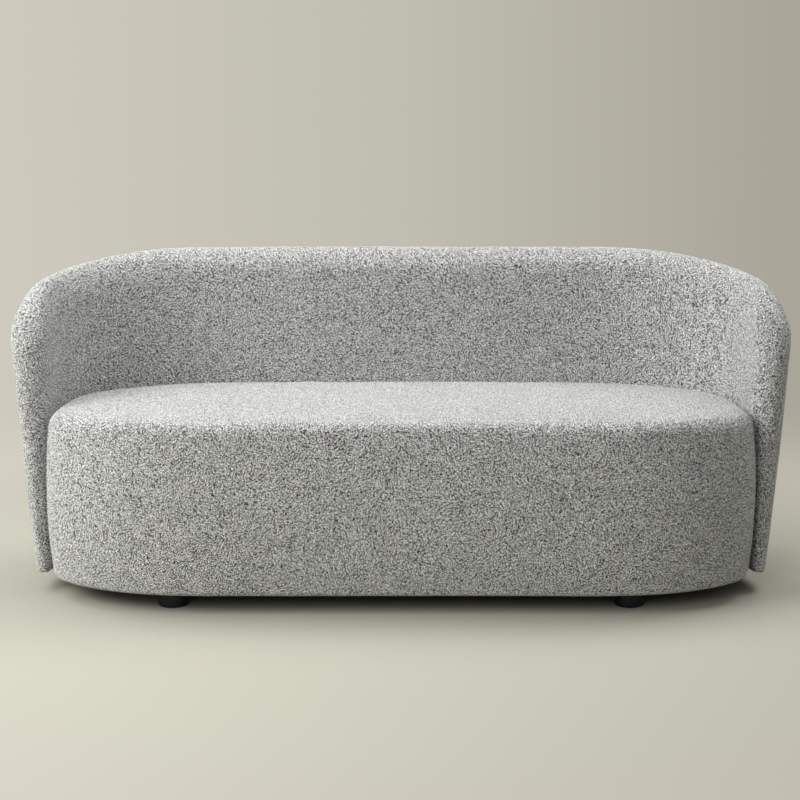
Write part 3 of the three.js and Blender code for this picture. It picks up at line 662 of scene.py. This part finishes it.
def round_posts(hidden_from):
    """Posts all round the plan line, even about the middle, and wide apart past a distance."""
    right = spread(0, hidden_from, GRID) + spread(hidden_from, HALF_ROUND, HIDDEN_GRID)[1:]
    left = [2 * HALF_ROUND - s for s in right[1:-1]]
    return [plan_post(s) for s in right + left[::-1]]


def rows_of(posts, shape, values, *more):
    """Rows of points on a shape: one row for each value, one point in it for each post."""
    return [[shape(post, value, *more) for post in posts] for value in values]


side_posts = round_posts(ARM_MARK + 3 * GRID)
hem = [-HEM, HOLD - HEM, -(HEM + BOTTOM_RADIUS) / 2]
heights = spread(FLOOR_GAP + BOTTOM_RADIUS, DRUM_TOP - TOP_RADIUS, GRID)[1:-1]
last = SEAM_ANGLE - SEAM_GAP / 2 / TOP_RADIUS
turn = [*spread(0, last - HOLD / TOP_RADIUS, TOP_ARC), last]
side_rows = rows_of(side_posts, put_out, hem, FLOOR_GAP)
side_rows += rows_of(side_posts, low_edge, spread(0, math.pi / 2, LOW_ARC))
side_rows += rows_of(side_posts, wall_spot, heights)
side_rows += rows_of(side_posts, top_edge, turn)
cover("seat_side_cover_cloth", side_rows, True, ["seat_side_cover"])

# %% [markdown]
# ## Seat top cover
# The top cover starts at the same seam and runs in over the edge. Then its rings are drawn towards
# a spine, a line along the middle of the seat, as long as the straight part of the drum. The last
# ring lies on the spine itself, where the points of the front and the back meet in pairs and are
# merged. A grid made so has no pole and no long thin faces.

# %% Seat top cover
SPINE_HALF = 0.50
SPINE_Y = PLAN_FRONT + PLAN_DEPTH / 2


def crown_rows(edge, count, crown=CROWN):
    """Rings from the edge of the seat's flat in to the spine, where opposite points meet."""
    half = len(edge) // 2
    widest = max(point.x for point in edge)
    rows = []
    for step in range(1, count + 1):
        t = step / count
        row = []
        for k, point in enumerate(edge):
            partner = edge[(half - k) % len(edge)]
            x = SPINE_HALF * (point.x + partner.x) / 2 / widest
            inner = point.lerp(Vector((x, SPINE_Y, point.z)), t)
            inner.z = point.z + crown * (1 - (1 - t) ** CROWN_POWER)
            row.append(inner)
        rows.append(row)
    return rows


def even_posts(step):
    """Posts in even steps all round, the same even number of them on the right and the left."""
    half = 2 * round(HALF_ROUND / step / 2)
    return [plan_post(k * HALF_ROUND / half) for k in range(2 * half)]


first = SEAM_ANGLE + SEAM_GAP / 2 / TOP_RADIUS
turn = [first, *spread(first + HOLD / TOP_RADIUS, math.pi / 2, TOP_ARC)]
top_rows = rows_of(even_posts(GRID), top_edge, turn)
top_rows += crown_rows(top_rows[-1], round(PLAN_DEPTH / 2 / GRID))
cover("seat_top_cover_cloth", top_rows, True, ["seat_top_cover"])

# %% [markdown]
# ## The shell's shape
# The shell is one wall that is both arms and back. Its inner face stands upright to just below the
# seat's height and then leans out. Its outer face leans out all the way, with a slight belly. Its
# top is a half ellipse that leans with it. From an arm's end to the back it grows taller and
# thicker, and the front of each arm is a round nose. All that is one section, whose sizes depend
# on how far along the wall it stands.

# %% Sections of the shell
BACK_HEIGHT = cad_high.z
ARM_HEIGHT = 0.705
SHELL_GAP = 4 * MM
SHELL_BOTTOM = 44 * MM
SHELL_TURN = 5 * MM
SHELL_HEM = 11 * MM
ARM_THICKNESS, BACK_THICKNESS = 0.086, 0.115
ARM_FOOT, BACK_FOOT = 0.044, 0.060
LEAN_START = 0.42
ARM_LEAN, BACK_LEAN = math.radians(1.4), math.radians(8.5)
ARM_SHOULDER, BACK_SHOULDER = 0.105, 0.065
CORNER_RADIUS = 0.17
CORNER_POWER = 2.15
NOSE_LENGTH = 0.052
NOSE_TIP = 3 * MM
NOSE_POWER = 2.1
BELLY = 0.3
RISE = 0.5
SHOULDER_DROP = 0.5
SEAM_DROP = 10 * MM
SIDE_SEAM = 0.35
SHELL_LENGTH = 2 * (HALF_ROUND - ARM_MARK)


class Section:
    """The shell's sizes at a place on the plan line, which lies e from the nearer arm's end."""

    def __init__(self, s, inset=0.0):
        e = min(s - ARM_MARK, ARM_MARK + SHELL_LENGTH - s)
        blend = smooth(e / (RISE * SHELL_LENGTH / 2))
        height = mix(ARM_HEIGHT, BACK_HEIGHT, blend)
        shoulder = mix(ARM_SHOULDER, BACK_SHOULDER, blend)
        left = min(1.0, max(0.0, 1 - e / CORNER_RADIUS))
        drop = 1 - (1 - left ** CORNER_POWER) ** (1 / CORNER_POWER)
        nose = min(1.0, max(0.0, 1 - (e + NOSE_TIP) / (NOSE_LENGTH + NOSE_TIP)))
        self.post = plan_post(s)
        self.inset = inset
        self.top = height - CORNER_RADIUS * drop - inset
        self.full = height - shoulder
        self.waist = min(self.full, self.top + inset - shoulder * SHOULDER_DROP)
        self.seam = self.waist - SEAM_DROP
        self.thickness = mix(ARM_THICKNESS, BACK_THICKNESS, blend)
        self.foot = mix(ARM_FOOT, BACK_FOOT, blend)
        self.lean = math.tan(mix(ARM_LEAN, BACK_LEAN, blend))
        self.nose = (1 - nose ** NOSE_POWER) ** (1 / NOSE_POWER)

    def inner(self, z):
        """How far out of the plan line the inner face stands at a height."""
        return SHELL_GAP + max(0.0, z - LEAN_START) * self.lean

    def outer(self, z):
        """The same for the outer face."""
        v = (z - SHELL_BOTTOM) / (self.full - SHELL_BOTTOM)
        reach = self.inner(self.full) + self.thickness - SHELL_GAP - self.foot
        return SHELL_GAP + self.foot + reach * (v + BELLY * v * (1 - v))

    def middle(self, z):
        """The same for the middle of the wall."""
        return (self.inner(z) + self.outer(z)) / 2

    def half(self, z):
        """Half the wall's thickness at a height, which gets less round the nose."""
        return (self.outer(z) - self.inner(z)) / 2 * self.nose - self.inset

    def side(self, z, sign, turn=0.0):
        """A point on the outer (1) or the inner (-1) face, drawn in by the turn of a hem."""
        half = max(0.0, self.half(z) - turn * self.nose)
        return put_out(self.post, self.middle(z) + sign * half, z)

    def arch(self, angle):
        """A point on the round top, from 0 outside to pi inside."""
        half = max(0.0, self.half(self.waist))
        up = (self.top - self.waist) * math.sin(angle)
        out = self.middle(self.waist) + up * self.lean + half * math.cos(angle)
        return put_out(self.post, out, self.waist + up)


print("shell:", round(SHELL_LENGTH, 3), "m from arm's end to arm's end")

# %% [markdown]
# ## Shell covers
# The photograph shows two fine upright seams in the corners, so the shell has three covers: two
# arms and a back. Each is one cloth from the turned lower edge up the outside, over the round top
# and down the inside. Round an arm's nose the columns of points run together on the nose's centre
# line, where the points of the two sides are merged, so the front of the arm has no join. On the
# outside, just below the round top, a sewn line closes the cloth, and near the nose it turns down.
# Rows beside it keep the valley narrow.

# %% Shell covers
ARCH_STEPS = 16
NOSE_STEPS = 8
WALL_STEPS = 48
LEAN_STEPS = 21
VALLEY = 4.5 * MM
VALLEY_SIDE = 2.5 * MM
SIDE_LINE = 0.06
HIDDEN_HEIGHTS = [SHELL_BOTTOM + SHELL_TURN, 0.11, 0.22, 0.33, 0.40]


def nose_places():
    """Distances from an arm's end whose columns stand evenly round the nose."""
    shares = [math.sin(k / NOSE_STEPS * math.pi / 2) for k in range(NOSE_STEPS + 1)]
    ahead = [1 - (1 - share ** NOSE_POWER) ** (1 / NOSE_POWER) for share in shares]
    return [t * (NOSE_LENGTH + NOSE_TIP) - NOSE_TIP for t in ahead]


def wall_heights(cut, low, steps):
    """Heights up a side of the shell to its round top, close together beside the sewn line."""
    wall = [mix(low, cut.seam - 4 * VALLEY_SIDE, k / steps) for k in range(steps + 1)]
    return wall + [cut.seam - VALLEY_SIDE, cut.seam, cut.seam + VALLEY_SIDE, cut.waist]


SEAM_ROW = 2 + WALL_STEPS + 2


def shell_column(s, whole):
    """Points at one place: up the outside, over the top and down the inside. Only an arm's whole
    column has fine steps behind the drum."""
    cut = Section(s)
    outside = wall_heights(cut, SHELL_BOTTOM + SHELL_TURN, WALL_STEPS)
    inside = outside if whole else HIDDEN_HEIGHTS + wall_heights(cut, LEAN_START, LEAN_STEPS)
    over = [cut.arch(k / ARCH_STEPS * math.pi) for k in range(1, ARCH_STEPS)]
    up, down = ([cut.side(SHELL_BOTTOM, sign, turn) for turn in (SHELL_HEM, SHELL_TURN)]
                + [cut.side(z, sign) for z in heights]
                for sign, heights in ((1, outside), (-1, inside)))
    return up + over + down[::-1]


def turned_over(columns):
    """Rows from columns."""
    return [list(row) for row in zip(*columns)]


def arm_places():
    """Distances of an arm's columns from its end, and which column is on the upright sewn line."""
    line = [SIDE_LINE - VALLEY_SIDE, SIDE_LINE, SIDE_LINE + VALLEY_SIDE]
    edge = SIDE_SEAM - SEAM_GAP / 2
    near = nose_places()
    return near + line + spread(line[-1], edge - HOLD, GRID)[1:] + [edge], len(near) + 1


def arm_valleys(line, count, mirrored):
    """How deep the sewn lines of an arm's cover pull it in."""

    def depth(row, column):
        k = count - 1 - column if mirrored else column
        level = row == SEAM_ROW and k >= line
        upright = k == line and row <= SEAM_ROW
        return VALLEY if level or upright else 0.0

    return depth


near_end, sewn_column = arm_places()
right = [ARM_MARK + e for e in near_end]
left = [ARM_MARK + SHELL_LENGTH - e for e in near_end[::-1]]
for side, places in (("right", right), ("left", left)):
    cover("shell_cloth_" + side, turned_over([shell_column(s, True) for s in places]), False,
          ["inner_arm_cover_" + side, "outer_shell_cover"],
          arm_valleys(sewn_column, len(places), side == "left"))
past = SIDE_SEAM + SEAM_GAP / 2
behind = [past, *spread(past + HOLD, SHELL_LENGTH - past - HOLD, GRID), SHELL_LENGTH - past]
cover("shell_cloth_back", turned_over([shell_column(ARM_MARK + e, False) for e in behind]), False,
      ["inner_back_cover", "outer_shell_cover"],
      lambda row, column: VALLEY if row == SEAM_ROW else 0.0)

# %% [markdown]
# ## Foam and felt under the covers
# The covers lie on foam: a deep block on the springs, a jacket round the drum, and a jacket over
# the shell's frame with a solid block in each arm's nose. A felt pad keeps the seat foam off the
# springs. Nothing of them shows, but they make up most of the sofa, so each is a closed form of
# its own, 9 mm inside the cloth. They are drawn up in coarse rows and rounded by one level of
# subdivision.

# %% Foam and felt
CLOTH_ROOM = 9 * MM
COARSE = 40 * MM
COARSE_ARC = 0.4
WALL_FOAM = 15 * MM
WALL_FOAM_START = 0.09
JACKET_START = 0.3
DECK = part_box("seat_foam")[0].z
WALL_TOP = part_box("base_wall_foam")[1].z
BOARD_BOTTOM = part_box("base_wall_foam")[0].z
FRAME_OUT = -23.9 * MM


def stuffing(name, rows, closed, node, finish="upholstery_foam"):
    """A closed soft form through rows of points, which stands for a packed soft part."""
    form = draw_up(rows, closed)
    bmesh.ops.remove_doubles(form, verts=form.verts[:], dist=MERGE)
    bmesh.ops.recalc_face_normals(form, faces=form.faces[:])
    piece = finish_mesh(form, name, FINISHES[finish])
    subdivide(piece, 1)
    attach(piece, "root")
    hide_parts(node)
    print(name, "has", len(piece.data.polygons), "faces before it is rounded")


def filled(rows, crown):
    """Rows closed below and above by rings drawn to the spine."""
    count = round(PLAN_DEPTH / 2 / COARSE)
    return crown_rows(rows[0], count, 0.0)[::-1] + rows + crown_rows(rows[-1], count, crown)


def level_spot(post, z, out):
    """A point at a height, a fixed distance out of the plan line."""
    return put_out(post, out, z)


coarse = even_posts(COARSE)
block_rows = rows_of(coarse, wall_spot, [DECK], CLOTH_ROOM)
block_rows += rows_of(coarse, top_edge, spread(0, math.pi / 2, COARSE_ARC), CLOTH_ROOM)
stuffing("seat_foam_block", filled(block_rows, CROWN), True, "seat_foam")

felt_rows = rows_of(coarse, level_spot, [corner.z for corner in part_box("spring_felt")], FRAME_OUT)
stuffing("spring_felt_pad", filled(felt_rows, 0.0), True, "spring_felt", "felt_pad")

wall_inner = -(CLOTH_ROOM + WALL_FOAM)
heights = spread(WALL_FOAM_START, WALL_TOP, 2 * COARSE)
turn = spread(JACKET_START, math.pi / 2, COARSE_ARC)
jacket_rows = rows_of(coarse, level_spot, [BOARD_BOTTOM + CLOTH_ROOM], wall_inner)
jacket_rows += rows_of(coarse, low_edge, turn, CLOTH_ROOM)
jacket_rows += rows_of(coarse, wall_spot, heights, CLOTH_ROOM)
jacket_rows += rows_of(coarse, level_spot, heights[::-1], wall_inner)
stuffing("drum_foam_jacket", [*jacket_rows, jacket_rows[0]], True, "base_wall_foam")

# %% [markdown]
# ## Foam of the shell
# The shell's foam is one sheet folded over the frame, so its section is a long arch with a lane in
# it for the board, the hoops and the studs. At both ends of the lane the inner face runs out to
# the outer one, which closes the form. A solid block stands in front of each end, in the nose.

# %% Shell foam
LANE_WIDTH = 20.9 * MM
LANE_DROP = 10 * MM
LANE_START = 0.075
LANE_END = 2 * MM
FOAM_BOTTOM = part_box("shell_foam")[0].z
JACKET_STEPS = 8
BLOCK_END = LANE_START - 4 * MM


def lane_spot(cut, z, sign):
    """A point on the lane's outer (1) or inner (-1) face."""
    top = cut.full - LANE_DROP
    low, bend, high = (cut.middle(at) for at in (SHELL_BOTTOM, LEAN_START, top))
    z = min(z, top)
    if z <= LEAN_START:
        middle = mix(low, bend, (z - SHELL_BOTTOM) / (LEAN_START - SHELL_BOTTOM))
    else:
        middle = mix(bend, high, (z - LEAN_START) / (top - LEAN_START))
    return put_out(cut.post, middle + sign * LANE_WIDTH / 2, z)


def foam_outline(cut):
    """The foam's outer line at a section: up the outside, over the top, down the inside."""
    heights = [mix(FOAM_BOTTOM, cut.waist, k / JACKET_STEPS) for k in range(JACKET_STEPS + 1)]
    over = [cut.arch(k / JACKET_STEPS * math.pi) for k in range(1, JACKET_STEPS)]
    up, down = ([cut.side(z, sign) for z in heights] for sign in (1, -1))
    return up + over + down[::-1], heights


def jacket_column(s, ending):
    """One closed column of the jacket: the outline, then back along the lane."""
    cut = Section(s, CLOTH_ROOM)
    outline, heights = foam_outline(cut)
    top = cut.full - LANE_DROP
    ends = lane_spot(cut, top, 1), lane_spot(cut, top, -1)
    over = [ends[0].lerp(ends[1], k / JACKET_STEPS) for k in range(1, JACKET_STEPS)]
    up, down = ([lane_spot(cut, z, sign) for z in heights] for sign in (1, -1))
    back = outline if ending else up + over + down[::-1]
    return outline + back[::-1] + outline[:1]


def block_column(s, ending):
    """One closed column of a nose block; the ending one is drawn together to close the form."""
    cut = Section(s, CLOTH_ROOM)
    if ending:
        cut.nose = 0.0
    outline, heights = foam_outline(cut)
    sole = cut.side(heights[0], 0)
    return [sole, *outline, sole]


far_end = SHELL_LENGTH - LANE_START
lane_places = spread(LANE_START + LANE_END, far_end - LANE_END, COARSE)
jacket = [jacket_column(ARM_MARK + e, False) for e in lane_places]
jacket.insert(0, jacket_column(ARM_MARK + LANE_START, True))
jacket.append(jacket_column(ARM_MARK + far_end, True))
stuffing("shell_foam_jacket", turned_over(jacket), False, "shell_foam")
near = [e + CLOTH_ROOM for e in nose_places()] + [BLOCK_END]
for side, end, way in (("right", ARM_MARK, 1), ("left", ARM_MARK + SHELL_LENGTH, -1)):
    block = [block_column(end + way * e, False) for e in near]
    block.append(block_column(end + way * BLOCK_END, True))
    stuffing("nose_foam_" + side, turned_over(block), False, "shell_foam")

# %% [markdown]
# ## Cloths underneath
# Black spun cloth closes the drum from below, stapled flat to its bottom board, and a strip of the
# same cloth closes the shell's lower edge between its two turned hems. Both are stretched sheets
# one layer thick. Their cut size is their own size, because they are neither gathered nor folded.

# %% Dust cover and shell strip
HALF_CLOTH = 0.5 * MM
DUST_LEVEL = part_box("base_dust_cover")[0].z + HALF_CLOTH
STRIP_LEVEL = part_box("shell_under_strip")[0].z + HALF_CLOTH
STRIP_MARGIN = 6 * MM


def under_cloth(name, rows, closed, node):
    """A black cloth that faces down, whose area is measured as it is cut."""
    sheet = draw_up(rows, closed)
    bmesh.ops.remove_doubles(sheet, verts=sheet.verts[:], dist=MERGE)
    sheet.normal_update()
    if sum(face.normal.z * face.calc_area() for face in sheet.faces) > 0:
        bmesh.ops.reverse_faces(sheet, faces=sheet.faces[:])
    area = sum(face.calc_area() for face in sheet.faces)
    piece = finish_mesh(sheet, name, FINISHES["dust_cloth"])
    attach(piece, "root")
    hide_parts(node)
    print(name, "is", round(area, 3), "square metres")


outline = rows_of(even_posts(2 * GRID), put_out, [-HEM], DUST_LEVEL)[0]
dust_rows = [outline, *crown_rows(outline, round(PLAN_DEPTH / 2 / COARSE), 0.0)]
under_cloth("base_dust_cloth", dust_rows, True, "base_dust_cover")

strip_places = [NOSE_LENGTH / 4, *spread(NOSE_LENGTH, SHELL_LENGTH - NOSE_LENGTH, 2 * GRID),
                SHELL_LENGTH - NOSE_LENGTH / 4]


def strip_column(s):
    """Points across the strip at one place, from the inside out."""
    cut = Section(s, STRIP_MARGIN)
    return [cut.side(STRIP_LEVEL, sign) for sign in (-1, 0, 1)]


strip_rows = turned_over([strip_column(ARM_MARK + e) for e in strip_places])
under_cloth("shell_strip_cloth", strip_rows, False, "shell_under_strip")

# %% [markdown]
# ## Feet
# Four short round feet of black plastic carry the sofa, and two of them peep out under the drum. A
# foot is turned: half a profile is spun once round its axis, with a 4 mm round on the sole, a fine
# ring groove that hides the mould's parting line, and the bore for its screw.

# %% Feet
FOOT_ROUND = 4 * MM
FOOT_GROOVE = 0.8 * MM
BORE_FIT = 0.3 * MM
FOOT_ARC = 0.26
FOOT_SIDES = 64
SHARP_ANGLE = math.radians(35)


def foot_profile(radius, height, bore, bore_bottom):
    """Places out from the axis and up, from the sole's middle round to the bottom of the bore."""
    corner = [(radius - FOOT_ROUND * (1 - math.sin(a)), FOOT_ROUND * (1 - math.cos(a)))
              for a in spread(0, math.pi / 2, FOOT_ARC)]
    groove = height - 3 * FOOT_ROUND
    neck = radius - FOOT_GROOVE
    ring = [(radius, groove), (neck, groove + FOOT_GROOVE / 2), (radius, groove + FOOT_GROOVE)]
    brim = [(radius, height - FOOT_GROOVE), (neck, height)]
    return [(0, 0), *corner, *ring, *brim, (bore, height), (bore, bore_bottom), (0, bore_bottom)]


def foot(place):
    """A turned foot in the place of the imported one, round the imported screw."""
    low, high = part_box("foot_" + place)
    screw_low, screw_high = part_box("foot_screw_" + place)
    axis = (low + high) / 2
    bore = (screw_high.x - screw_low.x) / 2 + BORE_FIT
    profile = foot_profile((high.x - low.x) / 2, high.z - low.z, bore, screw_low.z - BORE_FIT)
    form = bmesh.new()
    points = [form.verts.new((axis.x + out, axis.y, up)) for out, up in profile]
    edges = [form.edges.new(pair) for pair in zip(points, points[1:])]
    bmesh.ops.spin(form, geom=points + edges, cent=(axis.x, axis.y, 0), axis=(0, 0, 1),
                   angle=2 * math.pi, steps=FOOT_SIDES, use_merge=True)
    bmesh.ops.remove_doubles(form, verts=form.verts[:], dist=MERGE)
    bmesh.ops.recalc_face_normals(form, faces=form.faces[:])
    piece = finish_mesh(form, "foot_" + place + "_turned", FINISHES["black_plastic"])
    piece.data.set_sharp_from_angle(angle=SHARP_ANGLE)
    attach(piece, "root")
    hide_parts("foot_" + place)
    return piece


feet = [foot(place) for place in ("front_left", "front_right", "rear_left", "rear_right")]
print("feet:", ", ".join(piece.name for piece in feet))

# %% [markdown]
# ## Floor and background
# The sofa stands in a studio with a pale warm-grey sweep. Near the sofa the floor is a plain matt
# surface, so that it takes the shadow. Further out it turns clear for the camera and for mirror
# rays, which then see the world, whose colour is the background's. So no edge or horizon shows
# from any side. From below it is clear all over, so that the underside can be looked at. The
# photograph's background is a little lighter on the left, and its floor lighter than its wall,
# with a soft change between them. So the world has two ramps of colour, one for rays that go level
# or up and one for rays that go down.

# %% Floor and background
FLOOR_RADIUS = 14.0
FLOOR_SIDES = 96
SHADE_START, SHADE_END = 1.05, 2.1
SHADE_OVAL = 1.2
FLOOR_COLOUR = "#a9a79a"
# Painted light: both ramps run from light on the left to darker on the right, as light from the
# left would fall on the backdrop.
WALL_WITH_PAINTED_LIGHT = [(0.0, "#cdcabd"), (0.5, "#c0beb1"), (1.0, "#a9a699")]
SWEEP_WITH_PAINTED_LIGHT = [(0.0, "#d7d4c7"), (0.5, "#cbc8bb"), (1.0, "#c3c0b3")]
BACKGROUND_HALF = 0.2
SWEEP_START, SWEEP_END = -0.16, -0.22


def seen_straight(tree):
    """1 for rays of the camera, of mirrors and through glass, and 0 for the rest."""
    seen = put(tree, "LightPath", out="Is Camera Ray")
    path = seen.node.outputs
    for ray in ("Is Glossy Ray", "Is Transmission Ray"):
        seen = put(tree, "Math", {0: seen, 1: path[ray]}, operation="MAXIMUM")
    return seen


def floor_material():
    """Matt painted board, which shows no pattern of its own and only takes the soft shadow."""
    made, tree, shader = new_material("matt_painted_board", Roughness=0.9, Specular_IOR_Level=0.1)
    shader.inputs["Base Color"].default_value = colour(FLOOR_COLOUR)
    place = put(tree, "TexCoord", out="Object")
    oval = put(tree, "VectorMath", {0: place, 1: (SHADE_OVAL, 1, 1)}, operation="MULTIPLY")
    away = put(tree, "VectorMath", {0: oval}, operation="LENGTH", out="Value")
    far = put(tree, "MapRange", {"Value": away, "From Min": SHADE_START, "From Max": SHADE_END},
              interpolation_type="SMOOTHSTEP")
    below = put(tree, "NewGeometry", out="Backfacing")
    bare = put(tree, "Math", {0: far, 1: below}, operation="MAXIMUM")
    clear = put(tree, "Math", {0: bare, 1: seen_straight(tree)}, operation="MULTIPLY")
    nothing = put(tree, "BsdfTransparent")
    blend = put(tree, "MixShader", {0: clear, 1: shader.outputs[0], 2: nothing})
    tree.links.new(blend, tree.nodes["Material Output"].inputs["Surface"])
    return made


ground = bmesh.new()
bmesh.ops.create_circle(ground, cap_ends=True, radius=FLOOR_RADIUS, segments=FLOOR_SIDES)
floor = finish_mesh(ground, "floor", floor_material())
print("floor radius:", FLOOR_RADIUS, "m")

# %% [markdown]
# ## Light
# The left corner is bright, the right one dark, the seat very light, and a soft shadow lies in
# front of the drum. So the main lamp hangs in front on the left. Three more hang above and behind,
# which light the seat and the insides of the arms and keep the floor dark close to the drum, and
# one fills in from high up in front. All are large round soft lamps. The rest is an even grey glow
# from all round, which the world gives.

# %% Light
LAMPS = {
    "key_front_left": ((-2.8, -1.7, 2.2), 101),
    "top_left": ((-2.2, 0.3, 3.2), 62),
    "back_right": ((2.0, 1.0, 3.2), 69),
    "top": ((0.0, 0.6, 4.6), 58),
    "fill_front": ((-1.3, -4.3, 2.2), 82),
}
LAMP_SIZE = 2.2
LAMP_AIM = Vector((0.0, 0.0, 0.35))
GLOW = "#b4b4b4"
GLOW_STRENGTH = 0.34

for name, (place, watts) in LAMPS.items():
    data = bpy.data.lights.new(name, "AREA")
    data.shape, data.size, data.energy = "DISK", LAMP_SIZE, watts
    lamp = bpy.data.objects.new(name, data)
    lamp.location = place
    lamp.rotation_euler = (LAMP_AIM - Vector(place)).to_track_quat("-Z", "Y").to_euler()
    bpy.context.scene.collection.objects.link(lamp)

world = bpy.data.worlds.new("studio")
world.use_nodes = True
bpy.context.scene.world = world
sky = world.node_tree
sideways = put(sky, "SeparateXYZ", {"Vector": put(sky, "TexCoord", out="Generated")})
upwards = sideways.node.outputs["Z"]
share = put(sky, "MapRange", {"Value": sideways, "From Min": -BACKGROUND_HALF,
                              "From Max": BACKGROUND_HALF})
wall, sweep = (put(sky, "ValToRGB", {"Fac": share}, ramp) for ramp in (WALL_WITH_PAINTED_LIGHT, SWEEP_WITH_PAINTED_LIGHT))
down = put(sky, "MapRange", {"Value": upwards, "From Min": SWEEP_START, "From Max": SWEEP_END},
           interpolation_type="SMOOTHSTEP")
backdrop = put(sky, "Mix", {0: down, 6: wall, 7: sweep}, data_type="RGBA", out=2)
ambient = put(sky, "Background", {"Color": colour(GLOW), "Strength": GLOW_STRENGTH})
shown = put(sky, "Background", {"Color": backdrop, "Strength": 1.0})
both = put(sky, "MixShader", {0: seen_straight(sky), 1: ambient, 2: shown})
sky.links.new(both, sky.nodes["World Output"].inputs["Surface"])

bpy.context.scene.view_settings.view_transform = "Standard"
print("lamps:", ", ".join(LAMPS))
